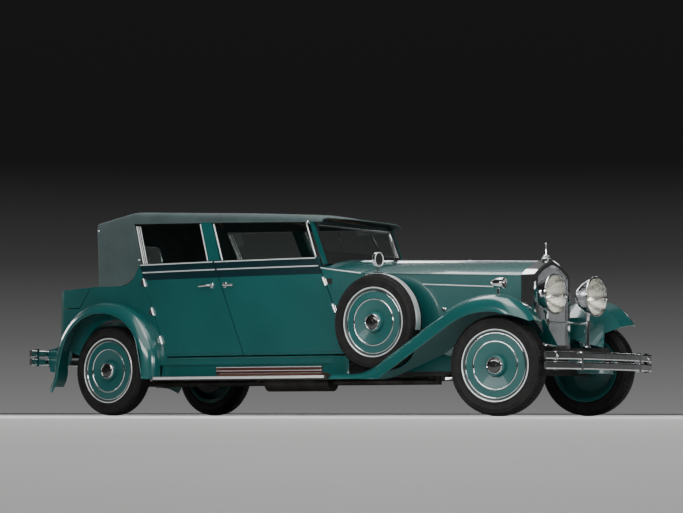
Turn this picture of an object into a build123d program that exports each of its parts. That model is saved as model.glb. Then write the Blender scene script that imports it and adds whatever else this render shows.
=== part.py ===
from build123d import *

import os
from math import atan2, cos, degrees, radians, sin, sqrt, tan

# Convertible sedan on a long ladder chassis. Millimetres, +X forward, +Y left, +Z up, floor at Z 0.
# Stations named "ahead" are measured forward from the rear axle, or from the front axle for the nose.
# The A line, spare wheels and board ends are measured back from the front axle.
WHEELBASE = 4100.0
FRONT_OVERHANG = 645.0
REAR_OVERHANG = 1055.0
TRACK = 1400.0
TYRE_OD = 800.0
TYRE_WIDTH = 170.0
RIM_OD = 568.0
RIM_WIDTH = 156.0
SPINDLE_R = 28.0
STEER_AT_REST = 10.0
KINGPIN_INSET = 85.0

# Body side: one large arc in plan, raked panel edges, belt, sill and floor heights
BODY_HALF_WIDTH = 725.0
PLAN_RADIUS = 11200.0
PLAN_APEX_AHEAD = 750.0
RAKE = 22.0
BELT_Z = 1335.0
SILL_TOP_Z = 505.0
SILL_BOTTOM_Z = 440.0
FLOOR_TOP_Z = 470.0
REAR_FLOOR_Z = 640.0
SILL_REAR_AHEAD = 560.0
A_LINE_BEHIND = 1871.0
B_LINE_AHEAD = 1170.0
C_LINE_AHEAD = 313.0
TAIL_AHEAD = -780.0
DECK_FRONT_AHEAD = -215.0
DECK_Z = 1157.0
TAIL_BOTTOM_Z = 640.0
TAIL_CORNER_R = 150.0
LID_SEAM_Z = 974.0
DOOR_THICKNESS = 55.0
DOOR_GAP = 7.0
DOOR_FOOT_GAP = 12.0
DOOR_FOOT_BEVEL = 26.0
DOOR_FOOT_LIP = 6.0
HINGE_OFFSET = 9.0
HINGE_R = 13.0
HINGE_LENGTH = 70.0
BODY_WALL = 45.0
GLASS_T = 6.0
GLASS_INSET = 26.0
TUMBLEHOME = 80.0
POST_WIDTH = 112.0

# Soft top: (ahead of rear axle, inset from body side, shoulder height, crown height)
ROOF_REAR_STATIONS = [
    (-330.0, 84.0, 1704.0, 1762.0),
    (150.0, 69.0, 1775.0, 1846.0),
    (1170.0, 69.0, 1715.0, 1795.0),
]
# Front part of the top: (ahead of the A line, inset from body side, shoulder height, crown height)
ROOF_FRONT_STATIONS = [
    (-264.0, 63.0, 1670.0, 1740.0),
    (11.0, 56.0, 1632.0, 1682.0),
]
ROOF_SKIN = 22.0
ROOF_CORNER = 70.0
ROOF_EDGE_REAR = (145.0, 1712.0)
ROOF_EDGE_FRONT = (-149.0, 1646.0)
BACK_FOOT_AHEAD = -220.0
BACK_HEAD_AHEAD = -320.0
QUARTER_R = 185.0
BACK_LIGHT_HALF = 260.0
BACK_LIGHT_LOW = 1395.0
BACK_LIGHT_HIGH = 1565.0

# Cowl: (ahead of the A line, shoulder height, crown height, bulge of each top panel)
COWL_REAR = (-149.0, 1272.0, 1356.0, 21.0)
COWL_MIDDLE = (146.0, 1231.0, 1337.0, 20.0)
COWL_FRONT = (441.0, 1190.0, 1318.0, 18.0)
# Front end of the hood: (ahead of the front axle, half width, shoulder height, crown height, bulge)
HOOD_FRONT = (-53.0, 262.0, 1137.0, 1262.0, 14.0)
HOOD_SKIN = 8.0
HOOD_BOTTOM_Z = 600.0
HOOD_ROD_R = 5.0
SHOULDER_BEAD_R = 5.0
FOLD_KEEP = 30.0
FOLD_REACH = 45.0
COWL_WALL = 30.0
LEDGE_WIDTH = 45.0

# Radiator shell, lamps and bumpers, ahead of the front axle
SHELL_FACE_AHEAD = 82.0
SHELL_DEPTH = 130.0
SHELL_HALF_WIDTH = 267.0
SHELL_BOTTOM_Z = 536.0
SHELL_SHOULDER_Z = 1146.0
SHELL_CROWN_Z = 1270.0
SHELL_BULGE = 15.0
SHELL_BEVEL = 9.0
SHELL_RIM = 42.0
SLAT_COUNT = 23
LAMP_AHEAD = 305.0
LAMP_Y = 310.0
LAMP_Z = 975.0
LAMP_R = 166.0
LAMP_LENGTH = 200.0
BAR_HEIGHT = 62.0
BAR_THICKNESS = 26.0
BAR_EDGE_R = 11.0
BAR_SWEEP = 114.0
BAR_STRAIGHT = 420.0
BAR_BEND_R = 900.0
BAR_CENTRES_Z = (397.0, 474.0)
REAR_BAR_RISE = 92.0
BAR_HALF_LENGTH = 806.0
CLAMP_YS = (0.0, 445.0, 700.0)

# Wings: section drop, spread and thickness, and side paths
WING_STEP = 143.0
WING_REACH = 113.0
WING_T = 6.0
FRONT_WING_DROP = 140.0
FRONT_WING_CREST_Z = 966.0
FRONT_WING_FOOT_RISE = 6.0
FRONT_WING_FOOT_BEHIND = 1250.0
FRONT_WING_RISE_BEHIND = 232.0
FRONT_WING_KNEE_AHEAD = 245.0
FRONT_WING_TIP = (392.0, 755.0)
FRONT_WING_RADII = (600.0, 880.0, 400.0)
BEAK_LINE = ((62.0, 818.0), (500.0, 754.0))
BEAK_TILT = 0.5
REAR_WING_DROP = 100.0
REAR_WING_CREST_Z = 1010.0
REAR_WING_FRONT_AHEAD = 572.0
REAR_WING_BACK_AHEAD = -625.0
REAR_WING_RADII = (587.0, 587.0, 200.0)
REAR_WING_FLARE = (58.0, 345.0, 262.0)
BOARD_TOP_Z = 340.0
BOARD_T = 36.0
BOARD_REAR_AHEAD = 590.0
BOARD_FRONT_BEHIND = 1588.0
BOARD_EDGE_INSET = 6.0
BOARD_WIDTH = 222.0
PAD_WIDTH = 112.0
PAD_EDGE_INSET = 16.0
SPARE_BEHIND = 1195.0
SPARE_INSET = 200.0
SPARE_Z = 770.0
SPARE_TOE = 3.5

# Chassis
RAIL_Y = 330.0
RAIL_WIDTH = 60.0
RAIL_HEIGHT = 110.0

REAR_X = REAR_OVERHANG - (FRONT_OVERHANG + WHEELBASE + REAR_OVERHANG) / 2
FRONT_X = REAR_X + WHEELBASE
AXLE_Z = TYRE_OD / 2
WHEEL_Y = TRACK / 2
KINGPIN_Y = WHEEL_Y - KINGPIN_INSET
PLAN_APEX = REAR_X + PLAN_APEX_AHEAD
SLOPE = tan(radians(RAKE))
A_LINE_AHEAD = WHEELBASE - A_LINE_BEHIND
A_X = REAR_X + A_LINE_AHEAD
WING_EDGE_Y = BODY_HALF_WIDTH + WING_STEP
WING_CREST_Y = WING_EDGE_Y - WING_REACH
SPARE_Y = WING_EDGE_Y - SPARE_INSET


def raked(ahead, z):
    """X of a raked line that crosses belt height at the given station."""
    return REAR_X + ahead + (BELT_Z - z) * SLOPE


def half_width(x, inset):
    """Half width of the body's plan arc at x, moved inward by inset."""
    return BODY_HALF_WIDTH - PLAN_RADIUS + sqrt((PLAN_RADIUS - inset) ** 2 - (x - PLAN_APEX) ** 2)


def plan_face(inset, rear, front, corner):
    """Plan outline between two stations, with rounded rear corners."""
    middle = (rear + front) / 2
    h = [half_width(x, inset) for x in (rear, middle, front)]
    left = ThreePointArc((rear, h[0]), (middle, h[1]), (front, h[2]))
    right = ThreePointArc((front, -h[2]), (middle, -h[1]), (rear, -h[0]))
    face = make_face([left, Line(left @ 1, right @ 0), right, Line(right @ 1, left @ 0)])
    if corner:
        face = fillet(face.vertices().group_by(Axis.X)[0], corner)
    return face


def plan_block(inset, rear, front, low, high, corner=0.0):
    """Plan outline raised between two heights."""
    return extrude(Pos(0, 0, low) * plan_face(inset, rear, front, corner), high - low, dir=(0, 0, 1))


def slab(points, low, high, radius=0.0):
    """Side outline of (x, z) points carried across from y low to y high."""
    corners = [(x, low, z) for x, z in points]
    if radius:
        outline = FilletPolyline(*corners, radius=radius, close=True)
    else:
        outline = Polyline(*corners, close=True)
    return extrude(make_face(outline), high - low, dir=(0, 1, 0))


def box(x0, x1, y0, y1, z0, z1):
    """Plain block between two corners."""
    return Pos((x0 + x1) / 2, (y0 + y1) / 2, (z0 + z1) / 2) * Box(x1 - x0, y1 - y0, z1 - z0)


def rod(start, end, radius):
    """Round bar between two points."""
    a, b = Vector(*start), Vector(*end)
    return Plane(origin=a, z_dir=b - a) * Cylinder(radius, (b - a).length, align=(Align.CENTER, Align.CENTER, Align.MIN))


def mirrored(shape):
    """The same piece on the other side of the car."""
    return mirror(shape, about=Plane.XZ)


def pair(shape):
    """A left piece together with its mirror image."""
    return shape + mirrored(shape)


def turned(profile):
    """Ring turned about the Y axis from (radius, y) corners."""
    return revolve(make_face(Polyline(*[(r, y, 0) for r, y in profile], close=True)), axis=Axis.Y)


# Hoops across the body: side walls up to the shoulder, then a bowed panel each side of the crown
def hoop(x, half, shoulder, crown, bulge, low):
    rise = crown - shoulder
    chord = sqrt(half**2 + rise**2)
    out, up = half / 2 + bulge * rise / chord, (shoulder + crown) / 2 + bulge * half / chord
    left, top, right = (x, half, shoulder), (x, 0, crown), (x, -half, shoulder)
    arches = [ThreePointArc(left, (x, out, up), top), ThreePointArc(top, (x, -out, up), right)]
    base = Polyline(right, (x, -half, low), (x, half, low), left)
    return make_face([*arches, *base.edges()])


NOSE_STATIONS = []
for ahead, shoulder, crown, bulge in (COWL_REAR, COWL_MIDDLE, COWL_FRONT):
    NOSE_STATIONS.append((A_X + ahead, half_width(A_X + ahead, 0), shoulder, crown, bulge))
NOSE_STATIONS.append((FRONT_X + HOOD_FRONT[0], *HOOD_FRONT[1:]))
COWL_END, COWL_HALF, COWL_SHOULDER, COWL_CROWN, COWL_BULGE = NOSE_STATIONS[2]
HOOD_END, HOOD_HALF, HOOD_SHOULDER, HOOD_CROWN, HOOD_BULGE = NOSE_STATIONS[3]


def nose(inset, low):
    """Cowl and hood as one closed hollow form, moved inward by inset."""
    hoops = []
    for x, half, shoulder, crown, bulge in NOSE_STATIONS:
        hoops.append(hoop(x, half - inset, shoulder - inset * 0.6, crown - inset, bulge, low))
    return loft(hoops, ruled=True)


def along_hood(x, rear, front):
    """Value at x that runs straight from the cowl's joint to the hood's front end."""
    return rear + (front - rear) * (x - COWL_END) / (HOOD_END - COWL_END)


def hood_half_width(x):
    """Half width of the hood side at x."""
    return along_hood(x, COWL_HALF, HOOD_HALF)


def cowl_x(z):
    """X of the raked joint between cowl and hood."""
    return COWL_END + (COWL_SHOULDER - z) * SLOPE


def roof_edge(x):
    """Height of the roof's lower edge over the windows."""
    x0, x1 = REAR_X + ROOF_EDGE_REAR[0], A_X + ROOF_EDGE_FRONT[0]
    z0, z1 = ROOF_EDGE_REAR[1], ROOF_EDGE_FRONT[1]
    return z0 + (z1 - z0) * (x - x0) / (x1 - x0)


def side_glass(inset):
    """Leaning plan form of the windows, from belt to roof."""
    rear, front = raked(C_LINE_AHEAD, 1900), raked(A_LINE_AHEAD, 1200)
    low = Pos(0, 0, BELT_Z) * plan_face(inset, rear, front, 0)
    high = Pos(0, 0, 1900) * plan_face(inset + TUMBLEHOME, rear, front, 0)
    return loft([low.faces()[0], high.faces()[0]], ruled=True)


# Road wheel: drop-centre rim, dished disc and capped hub about the Y axis, outboard +Y
RIM_R = RIM_OD / 2
RIM_HALF = RIM_WIDTH / 2
BEAD_R = RIM_R - 20
WHEEL_PROFILE = [
    (0, 22),
    (SPINDLE_R + 0.3, 22),
    (SPINDLE_R + 0.3, -36),
    (76, -36),
    (76, 28),
    (190, 50),
    (BEAD_R - 14, 42),
    (BEAD_R - 14, -RIM_HALF + 12),
    (RIM_R - 10, -RIM_HALF),
    (RIM_R, -RIM_HALF),
    (RIM_R, -RIM_HALF + 8),
    (BEAD_R, -RIM_HALF + 16),
    (BEAD_R, RIM_HALF - 16),
    (RIM_R, RIM_HALF - 8),
    (RIM_R, RIM_HALF),
    (RIM_R - 10, RIM_HALF),
    (BEAD_R - 14, RIM_HALF - 12),
    (190, 70),
    (92, 52),
    (82, 84),
    (50, 98),
    (0, 102),
]
TYRE_R = TYRE_OD / 2
TYRE_HALF = TYRE_WIDTH / 2
TYRE_PROFILE = [
    (BEAD_R, RIM_HALF - 16),
    (RIM_R, RIM_HALF - 8),
    (RIM_R + 3, RIM_HALF - 4),
    (RIM_R + 30, TYRE_HALF - 2),
    (RIM_R + 60, TYRE_HALF),
    (TYRE_R - 24, TYRE_HALF - 12),
    (TYRE_R - 6, TYRE_HALF - 30),
    (TYRE_R, TYRE_HALF - 48),
]


def wheel():
    return turned(WHEEL_PROFILE)


def tyre():
    return turned(TYRE_PROFILE + [(r, -y) for r, y in reversed(TYRE_PROFILE)])


pieces = {}

# Road wheels: the front pair turns with its kingpins, so it sits at the steering angle
for side, sign in (("left", 1), ("right", -1)):
    turn = Rot(0, 0, 0 if sign > 0 else 180)
    hub = Pos(0, sign * KINGPIN_INSET, 0) * turn
    steer = Pos(FRONT_X, sign * KINGPIN_Y, AXLE_Z) * Rot(0, 0, STEER_AT_REST)
    pieces[f"wheel_front_{side}"] = steer * hub * wheel()
    pieces[f"tyre_front_{side}"] = steer * hub * tyre()
    still = Pos(REAR_X, sign * WHEEL_Y, AXLE_Z) * turn
    pieces[f"wheel_rear_{side}"] = still * wheel()
    pieces[f"tyre_rear_{side}"] = still * tyre()

    # Steering knuckle: fork above and below the axle eye, spindle and brake plate
    fork = box(-30, 30, -32, 46, -70, 70) - box(-31, 31, -33, 32.5, -44.3, 44.3)
    fork -= Cylinder(12.3, 200)
    fork += rod((0, 45, 0), (0, KINGPIN_INSET + 20, 0), SPINDLE_R)
    pieces[f"knuckle_{side}"] = steer * (fork if sign > 0 else mirrored(fork))

# Front axle: forged beam with an eye and a pin at each end
beam = box(-32, 32, -545, 545, 332, 392) + pair(box(-25, 25, 520, 590, 358, 436))
eye = Pos(0, KINGPIN_Y, AXLE_Z) * (Cylinder(30, 88) + Cylinder(12, 150))
beam += pair(eye)
pieces["front_axle"] = Pos(FRONT_X, 0, 0) * beam

# Rear axle: tube, gear housing, brake plates and wheel stubs
tube = rod((0, -610, AXLE_Z), (0, 610, AXLE_Z), 50)
tube += Pos(0, 0, AXLE_Z) * Sphere(150)
tube += pair(rod((0, 600, AXLE_Z), (0, 615, AXLE_Z), 190))
tube += pair(rod((0, 610, AXLE_Z), (0, WHEEL_Y + 20, AXLE_Z), SPINDLE_R))
pieces["rear_axle"] = Pos(REAR_X, 0, 0) * tube

# Leaf springs: a bowed pack over each axle, ends under the frame rails
def leaf_pack(x, reach, seat_z, rail_z):
    low = ThreePointArc((x - reach, 0, rail_z - 16), (x, 0, seat_z), (x + reach, 0, rail_z - 16))
    high = ThreePointArc((x - reach, 0, rail_z), (x, 0, seat_z + 40), (x + reach, 0, rail_z))
    face = make_face([low, Line(low @ 1, high @ 1), high, Line(high @ 0, low @ 0)])
    return Pos(0, RAIL_Y - 27, 0) * extrude(face, 54, dir=(0, 1, 0))


RAIL_HALF = RAIL_HEIGHT / 2
FRONT_RAIL_Z = 500.0
REAR_RAIL_Z = REAR_FLOOR_Z - RAIL_HALF
MID_RAIL_Z = SILL_BOTTOM_Z - RAIL_HALF
front_pack = leaf_pack(FRONT_X, 390, 392, FRONT_RAIL_Z - RAIL_HALF)
rear_pack = leaf_pack(REAR_X, 440, 450, REAR_RAIL_Z - RAIL_HALF)
pieces["leaf_springs"] = pair(front_pack) + pair(rear_pack)

# Ladder frame: two kicked-up rails and cross members
def rail_outline(offset):
    return [
        (REAR_X - 800, REAR_RAIL_Z + offset),
        (REAR_X + 470, REAR_RAIL_Z + offset),
        (REAR_X + 650, MID_RAIL_Z + offset),
        (FRONT_X - 760, MID_RAIL_Z + offset),
        (FRONT_X - 500, FRONT_RAIL_Z + offset),
        (FRONT_X + 400, FRONT_RAIL_Z + offset),
    ]


rail = slab(rail_outline(-RAIL_HALF) + rail_outline(RAIL_HALF)[::-1], RAIL_Y - RAIL_WIDTH / 2, RAIL_Y + RAIL_WIDTH / 2)
frame = pair(rail)
CROSS_MEMBERS = [
    (REAR_X - 760, REAR_RAIL_Z),
    (REAR_X + 300, REAR_RAIL_Z),
    (REAR_X + 1300, MID_RAIL_Z),
    (FRONT_X - 1800, MID_RAIL_Z),
    (FRONT_X + 60, FRONT_RAIL_Z),
    (FRONT_X + 330, FRONT_RAIL_Z),
]
for x, z in CROSS_MEMBERS:
    frame += box(x - 25, x + 25, -RAIL_Y, RAIL_Y, z - 40, z + 30)
pieces["frame"] = frame

# Engine, gearbox and fuel tank: closed masses between the rails
engine = box(FRONT_X - 1120, FRONT_X - 130, -190, 190, 560, 1040)
engine += box(FRONT_X - 1120, FRONT_X - 250, -130, 130, 420, 560)
engine += box(FRONT_X - 1700, FRONT_X - 1070, -120, 120, 300, SILL_BOTTOM_Z - 12)
engine += box(FRONT_X - 460, FRONT_X - 400, -RAIL_Y + RAIL_WIDTH / 2, RAIL_Y - RAIL_WIDTH / 2, 470, 540)
pieces["engine"] = engine
pieces["fuel_tank"] = fillet(
    box(REAR_X - 720, REAR_X - 330, -280, 280, 410, REAR_FLOOR_Z).edges().filter_by(Axis.Y).group_by(Axis.Z)[0], 60
)

# Exhaust: silencer and tail pipe under the right rail
PIPE = (REAR_X - 820, -222.0, 285.0)
pipe = rod(PIPE, (FRONT_X - 900, PIPE[1], PIPE[2]), 26)
pipe += rod((REAR_X + 1400, PIPE[1], PIPE[2]), (REAR_X + 2100, PIPE[1], PIPE[2]), 75)
pipe += box(REAR_X + 1280, REAR_X + 1320, PIPE[1] - 30, PIPE[1] + 30, PIPE[2], MID_RAIL_Z - 40)
pipe += rod((FRONT_X - 900, PIPE[1], PIPE[2] - 26), (FRONT_X - 900, PIPE[1], 600), 26)
pipe += rod((FRONT_X - 900, PIPE[1] - 26, 600), (FRONT_X - 900, -190, 600), 24)
pieces["exhaust"] = pipe

# Floor tray with sills along both sides
TRAY_REAR = REAR_X + 660
TRAY_FRONT = cowl_x(SILL_TOP_Z) - 40
tray = plan_block(0, TRAY_REAR, TRAY_FRONT, SILL_BOTTOM_Z, SILL_TOP_Z)
tray -= plan_block(60, TRAY_REAR - 10, TRAY_FRONT + 10, FLOOR_TOP_Z, SILL_TOP_Z + 10)
stubs = plan_block(0, REAR_X + SILL_REAR_AHEAD, TRAY_REAR + 10, SILL_BOTTOM_Z, SILL_TOP_Z)
stubs -= plan_block(60, REAR_X, TRAY_REAR + 20, SILL_BOTTOM_Z - 5, SILL_TOP_Z + 5)
pieces["floor"] = tray + stubs

# Running boards, their pads and the valances that close the gap up to the sills
BOARD_REAR = REAR_X + BOARD_REAR_AHEAD
BOARD_FRONT = FRONT_X - BOARD_FRONT_BEHIND
BOARD_EDGE = WING_EDGE_Y - BOARD_EDGE_INSET
board = box(BOARD_REAR, BOARD_FRONT, BOARD_EDGE - BOARD_WIDTH, BOARD_EDGE, BOARD_TOP_Z - BOARD_T, BOARD_TOP_Z)
board = fillet(board.edges().filter_by(Axis.X).group_by(Axis.Y)[-1], 12)
pieces["running_boards"] = pair(board)
valance = plan_block(18, BOARD_REAR + 60, BOARD_FRONT, BOARD_TOP_Z, SILL_BOTTOM_Z)
valance -= plan_block(34, BOARD_REAR, BOARD_FRONT + 60, BOARD_TOP_Z - 10, SILL_BOTTOM_Z + 10)
APRON_HALF = SHELL_HALF_WIDTH
APRON_Z = FRONT_RAIL_Z - 40
APRON_LIP = (FRONT_X + 492, 345.0)
apron_top = FilletPolyline(
    (FRONT_X + 88, 0, APRON_Z), (FRONT_X + 390, 0, APRON_Z), (APRON_LIP[0], 0, APRON_LIP[1]), radius=120
)
apron_plane = Plane(origin=apron_top @ 0, x_dir=(0, 1, 0), z_dir=apron_top % 0)
apron = sweep(apron_plane * Pos(0, -3) * Rectangle(2 * APRON_HALF, 6), path=apron_top)
TAIL_X = REAR_X + TAIL_AHEAD
CHEEK = [(120, 0), (-18, 0), (-205, -40), (-218, -80), (-185, -238), (-60, -252), (60, -170)]
cheek = slab([(TAIL_X + x, REAR_FLOOR_Z + z) for x, z in CHEEK], 505, 513, 12)
pieces["valances"] = valance + apron + pair(cheek)
PAD_EDGE = WING_EDGE_Y - PAD_EDGE_INSET
pad_rear, pad_front = BOARD_REAR + 740, BOARD_FRONT - 57
pad = box(pad_rear, pad_front, PAD_EDGE - PAD_WIDTH, PAD_EDGE, BOARD_TOP_Z, BOARD_TOP_Z + 14)
for inset in (30, 56, 82):
    y = PAD_EDGE - inset
    pad += box(pad_rear + 10, pad_front - 10, y - 6, y + 6, BOARD_TOP_Z + 14, BOARD_TOP_Z + 22)
pieces["step_pads"] = pair(pad)

# Body shell, tail part: quarters, raised rear floor, seat bulkhead and luggage space
def tail_outline():
    return [
        (raked(C_LINE_AHEAD, SILL_TOP_Z), SILL_TOP_Z),
        (raked(C_LINE_AHEAD, BELT_Z), BELT_Z),
        (REAR_X + 205, DECK_Z - 7),
        (REAR_X + DECK_FRONT_AHEAD, DECK_Z),
        (REAR_X + TAIL_AHEAD + 10, DECK_Z - 22),
        (REAR_X + TAIL_AHEAD - 22, TAIL_BOTTOM_Z),
        (REAR_X - 480, SILL_TOP_Z + 40),
        (REAR_X - 400, SILL_TOP_Z),
    ]


tail_form = plan_block(0, TAIL_X - 22, raked(C_LINE_AHEAD, 480), SILL_TOP_Z, BELT_Z, TAIL_CORNER_R)
sides = [(x, -900, z) for x, z in tail_outline()]
tail_cut = make_face(FilletPolyline(*sides, radius=(0.1, 1, QUARTER_R, 20, 130, 40, 10, 10), close=True))
tail_form &= extrude(tail_cut, 1800, dir=(0, 1, 0))
WHEELHOUSE_R = TYRE_R + 55
arches = pair(Pos(REAR_X, 700, AXLE_Z) * Rot(90, 0, 0) * Cylinder(WHEELHOUSE_R, 250))
linings = pair(Pos(REAR_X, 700, AXLE_Z) * Rot(90, 0, 0) * Cylinder(WHEELHOUSE_R + 35, 310))
cabin = plan_block(BODY_WALL, REAR_X + DECK_FRONT_AHEAD + 45, raked(C_LINE_AHEAD, 400), REAR_FLOOR_Z + 25, BELT_Z + 5)
cabin += plan_block(BODY_WALL, TRAY_REAR, raked(C_LINE_AHEAD, 400), SILL_TOP_Z - 5, REAR_FLOOR_Z + 30)
boot = plan_block(BODY_WALL, TAIL_X + 30, REAR_X + DECK_FRONT_AHEAD, REAR_FLOOR_Z + 25, DECK_Z - 52, 110)
under = box(TAIL_X - 100, TRAY_REAR - 25, -600, 600, 400, REAR_FLOOR_Z)
tail = tail_form - (cabin - linings) - (boot - linings) - arches - under

# Luggage lid: the upper tail above the seam, hinged along its front edge
LID_FRONT = REAR_X + DECK_FRONT_AHEAD - 130
lid_zone = slab(
    [
        (LID_FRONT, DECK_Z + 40),
        (LID_FRONT, DECK_Z - 40),
        (LID_FRONT - 120, LID_SEAM_Z),
        (TAIL_X - 120, LID_SEAM_Z),
        (TAIL_X - 120, DECK_Z + 40),
    ],
    -900,
    900,
)
lid_room = slab(
    [
        (LID_FRONT + DOOR_GAP, DECK_Z + 50),
        (LID_FRONT + DOOR_GAP, DECK_Z - 43),
        (LID_FRONT - 116, LID_SEAM_Z - DOOR_GAP),
        (TAIL_X - 130, LID_SEAM_Z - DOOR_GAP),
        (TAIL_X - 130, DECK_Z + 50),
    ],
    -900,
    900,
)
LID_AXIS = (LID_FRONT + DOOR_GAP / 2, DECK_Z - 3)
LID_HINGES = (-330.0, 330.0)
lid, rear_body = tail & lid_zone, tail - lid_room
for y in LID_HINGES:
    ends = [(LID_AXIS[0], y - 45, LID_AXIS[1]), (LID_AXIS[0], y + 45, LID_AXIS[1])]
    rear_body += rod(*ends, 9)
    lid -= rod((LID_AXIS[0], y - 45.3, LID_AXIS[1]), (LID_AXIS[0], y + 45.3, LID_AXIS[1]), 9.3)
pieces["trunk_lid"] = lid
pieces["rear_body"] = rear_body

# Doors: full-thickness raked panels between sill and belt
DOORS = [
    ("front", B_LINE_AHEAD, A_LINE_AHEAD),
    ("rear", C_LINE_AHEAD, B_LINE_AHEAD),
]
HALF_GAP = DOOR_GAP / 2 / cos(radians(RAKE))
HINGE_LINES = {"front": A_LINE_AHEAD, "rear": C_LINE_AHEAD}
HINGE_HEIGHTS = {"front": (1128.0, 899.0, 668.0), "rear": (1170.0, 911.0, 660.0)}


def hinge_point(name, z):
    """Point of a left door's hinge axis at height z, just outside the skin."""
    ends = []
    for level in (SILL_TOP_Z, BELT_Z):
        x = raked(HINGE_LINES[name], level)
        ends.append(Vector(x, half_width(x, 0) + HINGE_OFFSET, level))
    return ends[0] + (ends[1] - ends[0]) * ((z - SILL_TOP_Z) / (BELT_Z - SILL_TOP_Z))


def hinge_barrel(name, z, clearance):
    """Barrel of one hinge along its door's axis."""
    ends = [hinge_point(name, z + step) for step in (-HINGE_LENGTH / 2 - clearance, HINGE_LENGTH / 2 + clearance)]
    return rod(tuple(ends[0]), tuple(ends[1]), HINGE_R + clearance)


SKIN_REAR, SKIN_FRONT = REAR_X + C_LINE_AHEAD - 113, A_X + 471
skin = plan_block(0, SKIN_REAR, SKIN_FRONT, SILL_TOP_Z, BELT_Z)
skin -= plan_block(DOOR_THICKNESS, SKIN_REAR - 10, SKIN_FRONT + 10, SILL_TOP_Z - 5, BELT_Z + 5)
DOOR_FOOT_Z = SILL_TOP_Z + DOOR_FOOT_GAP
foot_low = Pos(0, 0, DOOR_FOOT_Z) * plan_face(DOOR_FOOT_LIP, SKIN_REAR - 10, SKIN_FRONT + 10, 0)
foot_high = Pos(0, 0, DOOR_FOOT_Z + DOOR_FOOT_BEVEL) * plan_face(
    DOOR_THICKNESS + DOOR_FOOT_LIP, SKIN_REAR - 10, SKIN_FRONT + 10, 0
)
foot_bevel = loft([foot_low.faces()[0], foot_high.faces()[0]], ruled=True)
for name, rear, front in DOORS:
    low, high = SILL_TOP_Z + DOOR_FOOT_GAP, BELT_Z
    edges = [
        (raked(rear, low) + HALF_GAP, low),
        (raked(front, low) - HALF_GAP, low),
        (raked(front, high) - HALF_GAP, high),
        (raked(rear, high) + HALF_GAP, high),
    ]
    left = (skin & slab(edges, 0, 900)) - foot_bevel
    for z in HINGE_HEIGHTS[name]:
        left -= hinge_barrel(name, z, 0.3)
    pieces[f"door_{name}_left"] = left
    pieces[f"door_{name}_right"] = mirrored(left)

# Door glass, standing on the door's top edge and leaning in towards the roof
glazing = side_glass(GLASS_INSET) - side_glass(GLASS_INSET + GLASS_T)
GLASS_ENDS = [
    ("front", B_LINE_AHEAD + POST_WIDTH / 2 + 18, A_LINE_AHEAD - 14, 8.0),
    ("rear", C_LINE_AHEAD + 26, B_LINE_AHEAD - POST_WIDTH / 2 - 18, 20.0),
]
for name, rear, front, corner_drop in GLASS_ENDS:
    fore, aft = raked(front, 1650), raked(rear, 1680)
    tops = [(fore, roof_edge(fore) - 8), (aft, roof_edge(aft) - corner_drop)]
    edges = [(raked(rear, BELT_Z), BELT_Z), (raked(front, BELT_Z), BELT_Z), *tops]
    left = glazing & slab(edges, 0, 900)
    pieces[f"door_glass_{name}_left"] = left
    pieces[f"door_glass_{name}_right"] = mirrored(left)

# Centre posts between the doors: inside the doors below the belt, in the glass line above
upper = side_glass(GLASS_INSET - 14) - side_glass(GLASS_INSET + 34)
x_top = raked(B_LINE_AHEAD, 1670)
upper &= slab(
    [
        (raked(B_LINE_AHEAD, BELT_Z + 7) - POST_WIDTH / 2, BELT_Z + 7),
        (raked(B_LINE_AHEAD, BELT_Z + 7) + POST_WIDTH / 2, BELT_Z + 7),
        (x_top + POST_WIDTH / 2, roof_edge(x_top + POST_WIDTH / 2)),
        (x_top - POST_WIDTH / 2, roof_edge(x_top - POST_WIDTH / 2)),
    ],
    0,
    900,
)
POST_REAR, POST_FRONT = REAR_X + B_LINE_AHEAD - 270, REAR_X + B_LINE_AHEAD + 630
inner = plan_block(DOOR_THICKNESS + 6, POST_REAR, POST_FRONT, FLOOR_TOP_Z, BELT_Z + 60)
inner -= plan_block(DOOR_THICKNESS + 46, POST_REAR - 10, POST_FRONT + 10, FLOOR_TOP_Z - 5, BELT_Z + 70)
inner &= slab(
    [
        (raked(B_LINE_AHEAD, FLOOR_TOP_Z) - 45, FLOOR_TOP_Z),
        (raked(B_LINE_AHEAD, FLOOR_TOP_Z) + 45, FLOOR_TOP_Z),
        (raked(B_LINE_AHEAD, BELT_Z + 50) + 45, BELT_Z + 50),
        (raked(B_LINE_AHEAD, BELT_Z + 50) - 45, BELT_Z + 50),
    ],
    0,
    900,
)
joggle = plan_block(GLASS_INSET, POST_REAR, POST_FRONT, BELT_Z + 7, BELT_Z + 50)
joggle -= plan_block(DOOR_THICKNESS + 46, POST_REAR - 10, POST_FRONT + 10, BELT_Z, BELT_Z + 60)
joggle &= slab(
    [
        (raked(B_LINE_AHEAD, BELT_Z + 7) - 45, BELT_Z + 7),
        (raked(B_LINE_AHEAD, BELT_Z + 7) + 45, BELT_Z + 7),
        (raked(B_LINE_AHEAD, BELT_Z + 50) + 45, BELT_Z + 50),
        (raked(B_LINE_AHEAD, BELT_Z + 50) - 45, BELT_Z + 50),
    ],
    0,
    900,
)
pieces["centre_posts"] = pair(inner + joggle + upper)

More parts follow.
